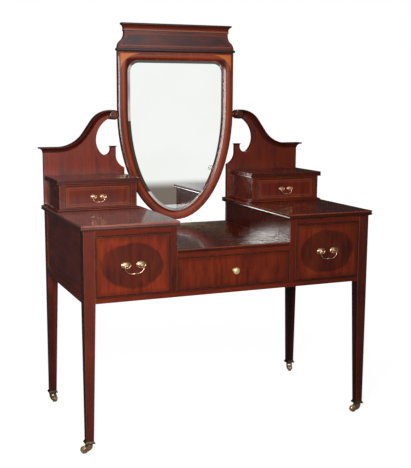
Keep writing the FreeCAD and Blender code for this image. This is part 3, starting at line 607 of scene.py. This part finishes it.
def grown(source, tree, **values):
    # run a Geometry Nodes tree on a line and keep the result as a plain mesh
    modifier = add_nodes_modifier(source, tree, **values)
    bpy.context.view_layer.update()
    mesh = bpy.data.meshes.new_from_object(source.evaluated_get(bpy.context.evaluated_depsgraph_get()))
    source.modifiers.remove(modifier)
    bpy.data.objects.remove(source)
    return mesh


def spaced(start, end, steps):
    return [start + (end - start) * step / steps for step in range(steps + 1)]


def unit(degrees):
    return math.cos(math.radians(degrees)), math.sin(math.radians(degrees))


def around(centre, radius, degrees):
    across, up = unit(degrees)
    return (centre[0] + radius * across, centre[1] + radius * up)


def faced_out(mesh, crease=None):
    # merge doubles and turn the faces outward
    shell = bmesh.new()
    shell.from_mesh(mesh)
    bmesh.ops.remove_doubles(shell, verts=shell.verts, dist=weld_gap)
    bmesh.ops.recalc_face_normals(shell, faces=shell.faces)
    shell.to_mesh(mesh)
    shell.free()
    if crease:
        mesh.shade_smooth()
        mesh.set_sharp_from_angle(angle=math.radians(crease))
    return mesh


def skin_of(rings, closed=False):
    # quads between each ring and the next; the ends get faces unless the rings close on themselves
    count = len(rings[0])
    points = [tuple(point) for ring in rings for point in ring]
    faces = []
    for row in range(len(rings) if closed else len(rings) - 1):
        after = (row + 1) % len(rings)
        for at in range(count):
            beside = (at + 1) % count
            faces.append((row * count + at, row * count + beside, after * count + beside, after * count + at))
    if not closed:
        faces += [tuple(range(count)), tuple(range(len(points) - count, len(points)))]
    return points, faces


def joined(name, parts, material, crease=30.0):
    points, faces = [], []
    for part_points, part_faces in parts:
        faces += [tuple(at + len(points) for at in one) for one in part_faces]
        points += part_points
    mesh = bpy.data.meshes.new(name)
    mesh.from_pydata(points, [], faces)
    mesh.materials.append(material)
    return faced_out(mesh, crease)


def turned(steps, place, sides=40, closed=False):
    # each step is a distance along the axis and a radius
    turns = [unit(360 * side / sides) for side in range(sides)]
    return skin_of([[place(along, radius * across, radius * up) for across, up in turns]
                    for along, radius in steps], closed)


def mirrored(mesh, name):
    other = mesh.copy()
    other.name = name
    other.transform(Matrix.Scale(-1, 4, (1, 0, 0)))
    return faced_out(other)


def join_meshes(name, meshes):
    shell = bmesh.new()
    for mesh in meshes:
        shell.from_mesh(mesh)
    whole = bpy.data.meshes.new(name)
    shell.to_mesh(whole)
    shell.free()
    whole.materials.append(meshes[0].materials[0])
    return whole


def norm(x, z, centre_z, half):
    # one on the ellipse with these half sizes
    return maths("SQRT", (x / half[0]) ** 2.0 + ((z - centre_z) / half[1]) ** 2.0)


# the moulding's path is found from the sizes of the bracket, as in the part's source
cap_low, cap_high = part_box("right_bracket_moulding")
board_low, board_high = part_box("right_mirror_bracket")
roll_front = 0.003
cap_height = 0.024
cap_reach = board_low.y - (cap_low.y + roll_front)
body_half = cap_high.x - cap_reach
ear_top = 1.125
crest_top = cap_high.z
roll_x = 0.300
roll_radius = 0.021
neck_angle = 55.0
span = body_half - roll_x
flat_end = body_half - 0.206 * span
crest_start = roll_x + 0.028 * span
cosine, sine = unit(neck_angle)
both_bends = ((flat_end - crest_start) * sine - (crest_top - ear_top) * cosine) / (1 - cosine)
round_radius = cap_height + 0.385 * (both_bends - cap_height)
hollow_radius = both_bends - round_radius
roll_place = (roll_x, crest_top - roll_radius)
hollow_centre = (flat_end, ear_top + hollow_radius)
round_centre = (crest_start, crest_top - round_radius)
neck_path = [(body_half, ear_top - cap_height)]
neck_path += [around(hollow_centre, hollow_radius + cap_height, 270 - turn)
              for turn in spaced(0, neck_angle, 28)]
neck_path += [around(round_centre, round_radius - cap_height, 90 - neck_angle + turn)
              for turn in spaced(0, neck_angle, 16)]
neck_path += [(roll_x, crest_top - cap_height)]
stations = [(body_half, board_high.y, ear_top - cap_height)] + [(x, board_low.y, z) for x, z in neck_path]
half_turn = math.sqrt(0.5)
outward = [(1.0, 0.0, 0.0), (half_turn, -half_turn, 0.0)] + [(0.0, -1.0, 0.0)] * (len(stations) - 2)
mitre = [0.0, math.sqrt(2) - 1] + [0.0] * (len(stations) - 2)
# the profile is drawn in shares of the reach and the height: a fillet, a cove, a step and a rounded top
board_share = (board_high.y - board_low.y) / cap_reach
profile = [(0.0, 0.0), (0.06, 0.02), (0.09, 0.1)]
profile += [(0.09 + 0.81 * (1 - across), 0.1 + 0.63 * up) for across, up in map(unit, spaced(0, 90, 9)[1:])]
profile += [(0.92, 0.75), (0.99, 0.78), (1.0, 0.82), (1.0, 0.95), (0.97, 0.99), (0.9, 1.0),
            (-board_share, 1.0), (-board_share, 0.0)]
profile_line = line_mesh("cap_profile", [(across, up, 0.0) for across, up in profile], closed=True)


def roll_face(shade):
    # the turned end of the roll is paler than its dark rim
    def inlay(place, colour):
        x, y, z = apart(place)
        out = norm(abs(x) - roll_place[0], z, roll_place[1], (roll_radius, roll_radius))
        front = on_face(y, cap_low.y, 0.0022, 0.0026)
        colour = mixed(fade(out, 0.80, 0.72) * front * 0.85, colour, shade)
        return mixed(fade(out, 0.76, 0.84) * fade(out, 1.2, 1.1) * front * 0.8, colour, (0.012, 0.004, 0.003))
    return inlay


cap_polish = {}
for at, (side, shade) in enumerate((("right", (0.075, 0.018, 0.010)), ("left", (0.17, 0.038, 0.022)))):
    cap_polish[side] = mahogany(side + "_bracket_moulding", "X", 63 + at * 2.2, roll_face(shade),
                                tint=0.42 + 0.1 * at, coat=0.45, rub=0.0012)
cap_mesh = grown(line_mesh("cap_path", stations, outward=outward, mitre=mitre), sweep_tree,
                 Profile=profile_line, Reach=cap_reach, Height=cap_height, Crease=math.radians(24),
                 Material=cap_polish["right"])
bpy.data.objects.remove(profile_line)
faced_out(cap_mesh)


def roll_at(along, across, up):
    return (roll_place[0] + across, cap_low.y + along, roll_place[1] + up)


roll_length = cap_high.y - cap_low.y
roll_steps = [(0.0, 0.0004), (0.0, 0.0086), (0.0008, 0.0092), (0.0014, 0.0102), (0.0014, 0.0124),
              (0.0008, 0.0134), (0.0, 0.0142), (0.0, 0.0180), (0.0008, 0.0198), (0.0030, roll_radius),
              (roll_length - 0.0006, roll_radius), (roll_length, roll_radius - 0.0006), (roll_length, 0.0004)]
# the ear's cap is a small board, moulded on its front and both ends
ear_sides, ear_height, ear_reach = (0.289, 0.312), 0.007, 0.0035
ear_shares = [(0.0, 0.0)] + [(1 - across, 0.5 * up) for across, up in map(unit, spaced(15, 90, 5))]
ear_rings = []
for across, up in ear_shares + [(1.0, 0.94), (0.85, 1.0)]:
    reach, level = ear_reach * across, ear_top - ear_height + ear_height * up
    left, right, near, far = ear_sides[0] - reach, ear_sides[1] + reach, board_low.y - reach, board_high.y
    ear_rings.append([(left, far, level), (left, near, level), (right, near, level), (right, far, level)])
turned_mesh = joined("bracket_roll", [turned(roll_steps, roll_at, 56), skin_of(ear_rings)],
                     cap_polish["right"], 28.0)
right_cap = join_meshes("right_bracket_cornice", [cap_mesh, turned_mesh])
left_cap = mirrored(right_cap, "left_bracket_cornice")
left_cap.materials[0] = cap_polish["left"]
for side, mesh in (("right", right_cap), ("left", left_cap)):
    cornice = placed(side + "_bracket_cornice", mesh)
    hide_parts(side + "_bracket_moulding")
    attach(cornice, "carcass")


# Looking-glass frame: solid mahogany cut to a shield with a low round on its face, an orange crossband
# inside its darker edge, a bevelled sight and satinwood spandrels in the upper corners.
glass_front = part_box("mirror_glass")[0].y
frame_low, frame_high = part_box("mirror_frame")
spring_height = 1.280
sight_half = (0.230, 0.456)
frame_half = (frame_high.x, spring_height - frame_low.z)
sight_top = 1.497
sight_corner = 0.052
sight_lip, sight_depth, rebate_width = 0.005, 0.006, 0.008
spandrel_centre, spandrel_half = (0.165, 1.450), (0.098, 0.075)
spandrel_in, spandrel_out = (0.160, 0.190), (0.2635, 0.2625)
spandrel_foot, spandrel_top = (1.452, 1.466), (1.5255, 1.5245)


def frame_share(out, z):
    # 0 at the outer edge of the frame and 1 at the sight
    low = least(z, spring_height)
    outer = 1.0 - norm(out, low, spring_height, frame_half)
    inner = norm(out, low, spring_height, sight_half) - 1.0
    side_share = (frame_half[0] - out) / (frame_half[0] - sight_half[0])
    top_share = (frame_high.z - z) / (frame_high.z - sight_top)
    above = fade(z, spring_height - 0.0005, spring_height + 0.0005)
    return outer / (outer + inner) * (1.0 - above) + least(side_share, top_share) * above


def frame_inlay(place, colour):
    x, y, z = apart(place)
    out = abs(x)
    share = frame_share(out, z)
    front = on_face(y, frame_low.y, 0.0034, 0.0042)
    spandrel = (fade(norm(out - spandrel_centre[0], z, spandrel_centre[1], spandrel_half), 0.985, 1.015)
                * fade(out, *spandrel_in) * fade(z, *spandrel_foot)
                * fade(out, *spandrel_out) * fade(z, *spandrel_top))
    band = fade(share, 0.34, 0.50) * fade(share, 0.80, 0.68) * front
    edge = maths("ADD", fade(share, 0.12, 0.04), fade(share, 0.82, 0.93), clamp=True)
    foot = fade(z, 0.86, 0.80) * front * fade(share, 0.85, 0.7)
    # painted light: the right side of the frame is lightened
    colour = toned(colour, fade(x, -0.05, 0.12), (1.5, 1.5, 1.5))
    colour = mixed(band * 0.6, colour, (0.46, 0.095, 0.030))
    colour = mixed(edge * front * 0.7, colour, (0.035, 0.009, 0.008))
    colour = mixed(foot * 0.6, colour, (0.5, 0.075, 0.028))
    return mixed(spandrel * front * 0.95, colour, (0.80, 0.21, 0.04))


# each station of the shield has a place on the outer edge and on the sight, and the sight's direction out
shield = []
for across, down in map(unit, spaced(0, 180, 44)):
    shield.append(((frame_half[0] * across, spring_height - frame_half[1] * down),
                   (sight_half[0] * across, spring_height - sight_half[1] * down), (across, -down)))
turn_x, turn_z = sight_half[0] - sight_corner, sight_top - sight_corner
right_corner = []
for turn in spaced(0, 90, 10):
    across, up = unit(turn)
    if turn <= 45:
        outer = (frame_half[0], turn_z + (frame_high.z - turn_z) * up / across)
    else:
        outer = (turn_x + (frame_half[0] - turn_x) * across / up, frame_high.z)
    right_corner.append((outer, (turn_x + sight_corner * across, turn_z + sight_corner * up), (across, up)))
shield += [tuple((-x, z) for x, z in station) for station in right_corner]
shield += right_corner[::-1]
frame_rings = []
for outer, inner, out in shield:
    lip = (inner[0] + sight_lip * out[0], inner[1] + sight_lip * out[1])
    rebate = (inner[0] + rebate_width * out[0], inner[1] + rebate_width * out[1])
    ring = []
    for share in (0.0, 0.02, 0.06, 0.13, 0.22, 0.33, 0.45, 0.57, 0.68, 0.78, 0.87, 0.94, 0.98, 1.0):
        bulge = 2 * share - 1
        fall = 0.0030 * bulge ** 4 + 0.0004 * bulge ** 2
        ring.append((outer[0] + (lip[0] - outer[0]) * share, frame_low.y + fall,
                     outer[1] + (lip[1] - outer[1]) * share))
    ring += [(x, y, z) for (x, z), y in ((inner, frame_low.y + sight_depth), (inner, glass_front),
                                         (rebate, glass_front), (rebate, frame_high.y),
                                         (outer, frame_high.y))]
    frame_rings.append(ring)
shield_frame = placed("shield_frame", joined(
    "shield_frame", [skin_of(frame_rings, closed=True)],
    mahogany("mirror_frame", "Z", 71.5, frame_inlay, tint=1.15, coat=0.35)))
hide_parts("mirror_frame")
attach(shield_frame, "swing_mirror")


# Mirror head: a half-round bead, a shaped frieze board with cyma ends and a string let into its face, and
# a moulded cornice planted on top.
frieze_low, frieze_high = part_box("mirror_frieze")
crown_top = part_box("mirror_cornice")[1].z


def frieze_inlay(place, colour):
    x, y, z = apart(place)
    half = fade(z, frieze_low.z, frieze_low.z + 0.062, frieze_high.x, frieze_high.x - 0.030)
    depth = least(half - abs(x), least(z - frieze_low.z, frieze_high.z - z))
    front = on_face(y, frieze_low.y, 0.0004, 0.0010)
    line = (line_at(depth, 0.0115, 0.0042) * front
            * fade(z, frieze_low.z + 0.013, frieze_low.z + 0.020, 1.0, 0.4))
    field = fade(depth, 0.013, 0.015) * front
    clouds = fade(noise(place, (9.0, 9.0, 30.0), 4.0, 0.6), 0.35, 0.65, 0.25, 0.85)
    colour = mixed(field * clouds, colour, (0.030, 0.009, 0.014))
    return mixed(line * 0.5, colour, (0.42, 0.10, 0.04))


def crown_bands(place, colour):
    # an orange band on the fillet, the wood's colour with a painted highlight, between painted shade at the
    # foot and a darkened top fillet
    z = apart(place)[2]
    foot = frieze_high.z
    fillet = fade(z, foot + 0.0028, foot + 0.0034) * fade(z, foot + 0.0078, foot + 0.0070)
    dark = most(fade(z, foot + 0.0030, foot + 0.0024), fade(z, crown_top - 0.0095, crown_top - 0.0080))
    colour = mixed(dark * 0.93, colour, (0.012, 0.005, 0.005))
    return mixed(fillet * 0.8, colour, (0.55, 0.13, 0.04))


polish("mirror_frieze", "X", 74.1, frieze_inlay, tint=0.85, coat=0.5)
round_off("mirror_frieze", 25.0)
polish("mirror_cornice", "X", 77.7, crown_bands, tint=0.95, coat=0.45)
round_off("mirror_cornice", 25.0)


# Looking glass: old silvered plate with a wide bevel, let into the frame's rebate from behind. The
# silvering is faintly foxed.
silver, silver_shader, silver_place = new_material("silvered_glass")
fox = fade(noise(silver_place, 55.0, 5.0, 0.7), 0.66, 0.8)
clouded = fade(noise(silver_place, 5.0), 0.35, 0.75)
silver_colour = mixed(clouded, (0.955, 0.965, 0.95), (0.93, 0.945, 0.925))
silver_colour = mixed(fox * 0.12, silver_colour, (0.62, 0.55, 0.45))
fed(silver_shader, Base_Color=silver_colour, Metallic=1.0, Roughness=0.0)
dress("mirror_glass", silver)
round_off("mirror_glass", 3.0)


# Drawer fronts: solid mahogany, the deep ones with an oval panel of dark flame figure let in round the
# handle, the small ones with two pale strings and a crossband; each has a dark joint at its edge, widened
# by painted shade, and the deep and centre fronts darken towards their edges as painted shade.
def front_inlay(node, strings, oval=None, band=None):
    # a string is its depth from the edge, width, strength and colour; an oval is its centre and half
    # sizes; a band lies between two depths
    centre, half = box_of(node)

    def inlay(place, colour):
        x, y, z = apart(place)
        depth = least(from_edge(x, centre.x, half.x), from_edge(z, centre.z, half.z))
        front = on_face(y, centre.y - half.y, 0.0005, 0.0010)
        if oval:
            mottle = noise(place, (14.0, 14.0, 5.0), 4.0, 0.6, 0.5)
            ring = norm(x - oval[0], z, oval[1], oval[2]) + (mottle - 0.5) * 0.34
            share = fade(ring, 1.04, 0.94) * fade(mottle, 0.25, 0.6, 0.5, 1.0) * front
            colour = toned(colour, share, (0.42, 0.56, 0.85))
        if band:
            outer, inner = band
            border = (fade(depth, outer - band_blur, outer + band_blur)
                      * fade(depth, inner + band_blur, inner - band_blur) * front)
            colour = mixed(border * 0.10, colour, (0.34, 0.055, 0.022))
            field = fade(depth, inner - band_blur, inner + band_blur) * front
            colour = toned(colour, field * 0.85, (0.78, 0.72, 0.8))
        for at, width, strength, string in strings:
            colour = mixed(line_at(depth, at, width) * front * strength, colour, string)
        return colour
    return inlay


band_blur = 0.0003
oval_height, oval_half = 0.7155, (0.124, 0.088)
orange_string = (0.50, 0.16, 0.05)
# a dark joint widened by painted shade at each front's edge, and a wider painted shade towards the edges
seam_and_edge_shade = [(0.0, 0.0086, 0.9, (0.014, 0.004, 0.003)), (0.0, 0.034, 0.32, (0.03, 0.008, 0.005))]
# the first line is a dark joint with painted shade at the edge; the others are orange strings
jewel_strings = [(0.0, 0.0060, 0.85, dark_joint_and_shade), (0.0036, 0.0018, 0.5, orange_string),
                 (0.0135, 0.0016, 0.35, orange_string)]
for at, (side, middle) in enumerate((("left", -pedestal_middle), ("right", pedestal_middle))):
    # the right deep front is tinted darker than the left as painted light falloff
    node = side + "_deep_drawer_front"
    polish(node, "Z", 81 + at * 4.4, front_inlay(node, seam_and_edge_shade, (middle, oval_height, oval_half)),
           tint=1.1 - 0.17 * at, figure=0.7)
    soften(node, 0.0012)
    node = side + "_jewel_drawer_front"
    polish(node, "Z", 86 + at * 2.7, front_inlay(node, jewel_strings, band=(0.003, 0.0135)), tint=1.1,
           figure=0.5)
    soften(node, 0.0008)
node = "centre_drawer_front"
polish(node, "Z", 89.9, front_inlay(node, seam_and_edge_shade), tint=0.75, figure=0.8)
soften(node, 0.0012)


# Drawer boxes: thin pine sides dovetailed to the front, a bottom between them, all planed and left bare.
# The tails show at the front of each side.
def dovetails(node, pitch):
    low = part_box(node)[0]

    def inlay(place, colour):
        y, z = apart(place)[1:]
        into = y - low.y
        cell = maths("FRACT", (z - (low.z - 0.3 * pitch)) / pitch)
        off = abs(cell - 0.5)
        pin = fade(off - (into * -6.0 + 0.30), 0.0, 0.02) * fade(into, 0.0135, 0.0130)
        return mixed(pin * 0.8, colour, (0.16, 0.05, 0.02))
    return inlay


for at, (drawer, pitch) in enumerate((("left_deep_drawer", 0.034), ("right_deep_drawer", 0.034),
                                      ("centre_drawer", 0.034), ("left_jewel_drawer", 0.022),
                                      ("right_jewel_drawer", 0.022))):
    leave_bare(drawer + "_box", "Y", 97 + at * 2.3, dovetails(drawer + "_box", pitch))


# Handles: cast and turned brass, an oval plate under each post, a barrel knuckle and a bail of drawn wire
# that swells into a grip. Old lacquer has darkened the hollows.
tarnish_tree, given, result = shader_tree("brass_tarnish", surface, Bright="Color", Dull="Color",
                                          Amount="Float", Polish="Float")
speck = noise(given["Vector"], 900.0, 2.0)
stain = fade(noise(given["Vector"], 130.0, 5.0, 0.62), 0.40, 0.68) * given["Amount"]
cover = maths("ADD", stain, fade(speck, 0.62, 0.75) * 0.25, clamp=True)
fed(result, Color=mixed(cover, given["Bright"], given["Dull"]),
    Roughness=maths("ADD", given["Polish"], cover * 0.3, clamp=True), Height=speck * cover)


def brass(name, bright, dull, amount, polish, metallic=0.75):
    material, shader, place = new_material(name)
    metal = grouped(tarnish_tree, place, Bright=bright, Dull=dull, Amount=amount, Polish=polish)
    fed(shader, Base_Color=metal["Color"], Roughness=metal["Roughness"], Metallic=metallic,
        Normal=flow(place.tree, "Bump", Strength=0.15, Distance=0.0003, Height=metal["Height"]))
    return material


wire_tree, given, result = geometry_tree("wire_sweep", Sides="Int", Crease="Float", Material="Material")
wire_line = flow(wire_tree, "MeshToCurve", Mesh=given["Geometry"])
wire_ring = flow(wire_tree, "CurvePrimitiveCircle", Resolution=given["Sides"], Radius=1.0)
wire_swept = flow(wire_tree, "CurveToMesh", Curve=wire_line, Profile_Curve=wire_ring,
                  Scale=named_attribute(wire_tree, "thickness", "FLOAT"), Fill_Caps=True)
fed(result, folded_and_dressed(wire_swept, given))

Handle = namedtuple("Handle", "x y z spacing width height stand wire ball drop spread")
handles = {
    "deep": Handle(pedestal_middle, front_face, 0.718, 0.06, 0.04, 0.026, 0.013, 0.002, 0.0046, 0.031, 0.038),
    "jewel": Handle(0.436, box_front, 0.9325, 0.04, 0.029, 0.018, 0.010, 0.0015, 0.0034, 0.022, 0.026)}
# shares of the grip's half length, each with its thickness in wires, from the bow to the middle
grip_steps = ((0.8, 1.05), (0.62, 1.2), (0.5, 1.34), (0.4, 1.42), (0.34, 1.12), (0.3, 1.12), (0.24, 1.4),
              (0.17, 1.48), (0.1, 1.5), (0.03, 1.5))
# heights on the plate's dome, each with its share of the radius; then the same for half a barrel's length
plate_steps = ((0.0, 1.0), (0.0007, 1.0), (0.0013, 0.985), (0.0016, 0.95), (0.0014, 0.89), (0.0010, 0.86),
               (0.0012, 0.83), (0.0020, 0.79), (0.0029, 0.70), (0.0036, 0.58), (0.0040, 0.47), (0.0042, 0.38),
               (0.0044, 0.0))
barrel_steps = ((-1.0, 0.72), (-0.92, 0.86), (-0.6, 0.97), (0.0, 1.0), (0.6, 0.97), (0.92, 0.86), (1.0, 0.72))


def bail_line(name, handle):
    # the pintle, a tight corner, the bow and half the grip, then the same the other way
    wire = handle.wire
    corner = 2 * wire
    bend = handle.drop - corner
    grip = handle.spread - bend
    side = [((handle.spacing / 2 - handle.ball - wire, 0.0), wire),
            ((handle.spread - corner - 0.0005, 0.0), wire)]
    side += [(around((handle.spread - corner, -corner), corner, turn), wire) for turn in spaced(90, 0, 6)]
    side += [(around((grip, -corner), bend, turn), wire) for turn in spaced(0, -90, 14)[1:]]
    side += [((share * grip, -handle.drop), swell * wire) for share, swell in grip_steps]
    whole = side + [((-across, up), size) for (across, up), size in reversed(side)]
    return line_mesh(name, [(handle.x + across, handle.y - handle.stand, handle.z + up)
                            for (across, up), size in whole], thickness=[size for place, size in whole])


def rosette_parts(handle):
    # an oval plate turned to a low dome with a ringed edge, a waisted post and a bored barrel knuckle
    parts = []
    stand, ball = handle.stand, handle.ball
    half = 0.75 * ball
    post = ball - 0.0012
    bore = handle.wire + 0.0003
    squash = handle.height / handle.width
    plate = [(along, share * handle.width / 2) for along, share in plate_steps]
    neck = [(0.0030, post * 1.5), (0.0046, post * 1.45), (0.0052, post * 1.1), (0.5 * stand, post * 0.85),
            (stand - ball * 0.8, post), (stand - 0.3 * ball, post * 0.95)]
    barrel = [(-half, bore)] + [(share * half, size * ball) for share, size in barrel_steps] + [(half, bore)]
    for middle in (handle.x - handle.spacing / 2, handle.x + handle.spacing / 2):
        def oval(along, side, up):
            return (middle + side, handle.y - along, handle.z + up * squash)

        def stem(along, side, up):
            return (middle + side, handle.y - along, handle.z + up)

        def knuckle(along, side, up):
            return (middle + along, handle.y - stand + side, handle.z + up)
        parts += [turned(plate, oval, 48), turned(neck, stem, 24), turned(barrel, knuckle, 24, closed=True)]
    return parts


for side, sign in (("left", -1), ("right", 1)):
    for kind, size in handles.items():
        handle = size._replace(x=sign * size.x)
        drawer = side + "_" + kind + "_drawer"
        metal = brass(drawer + "_plate_brass", (0.94, 0.61, 0.37), (0.24, 0.115, 0.055), 0.75, 0.26, 0.9)
        plates = placed(drawer + "_plates", joined(drawer + "_plates", rosette_parts(handle), metal, 32.0))
        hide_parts(drawer + "_rosettes")
        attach(plates, drawer)
        metal = brass(drawer + "_bail_brass", (0.96, 0.66, 0.42), (0.34, 0.18, 0.09), 0.5, 0.24, 0.9)
        bow = grown(bail_line(drawer + "_bail_line", handle), wire_tree, Sides=16, Crease=math.radians(40),
                    Material=metal)
        handle = placed(drawer + "_bow", faced_out(bow))
        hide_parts(drawer + "_bail")
        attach(handle, side + "_" + kind + "_bail")


# Knob: turned brass on the kneehole drawer, a round button on a slim neck over a small flange.
# The pins that carry the mirror are of the same metal, left dull.
knob_centre, knob_half = box_of("centre_drawer_knob")
knob_back = knob_centre.y + knob_half.y


def knob_at(along, across, up):
    return (knob_centre.x + across, knob_back - along, knob_centre.z + up)


button = 0.0066
knob_steps = [(0.0, 0.0090), (0.0012, 0.0091), (0.0021, 0.0084), (0.0027, 0.0068), (0.0042, 0.0054),
              (0.0075, 0.0048), (0.0102, 0.0053)]
for turns, swell in ((spaced(-62, 0, 7), 0.0002), (spaced(0, 88, 12)[1:], 0.0)):
    knob_steps += [(2 * knob_half.y - button + button * up, knob_half.x * across + swell)
                   for across, up in map(unit, turns)]
metal = brass("knob_brass", (1.0, 0.76, 0.40), (0.74, 0.44, 0.18), 0.4, 0.30, 0.5)
knob = placed("centre_knob", joined("centre_knob", [turned(knob_steps, knob_at, 48)], metal, 34.0))
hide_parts("centre_drawer_knob")
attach(knob, "centre_drawer")
dress("mirror_pivot_pins", brass("pivot_brass", (0.6, 0.4, 0.16), (0.14, 0.07, 0.03), 0.6, 0.25))
round_off("mirror_pivot_pins", 30.0)


# Casters: a square cast cup under each leg, a forked bracket that turns on the cup's pin and a brass wheel
# on its axle; the cups have gone almost black.
for end in ("front_left", "front_right", "rear_left", "rear_right"):
    for node, metal in ((end + "_caster_fork", ((0.58, 0.36, 0.21), (0.18, 0.085, 0.045), 0.6, 0.3)),
                        (end + "_caster_wheel", ((0.88, 0.64, 0.36), (0.34, 0.19, 0.08), 0.5, 0.28))):
        dress(node, brass(node + "_brass", *metal))
        round_off(node, 30.0)
dress("caster_cups", brass("caster_cup_brass", (0.13, 0.085, 0.05), (0.035, 0.02, 0.014), 0.7, 0.35))
round_off("caster_cups", 24.0)
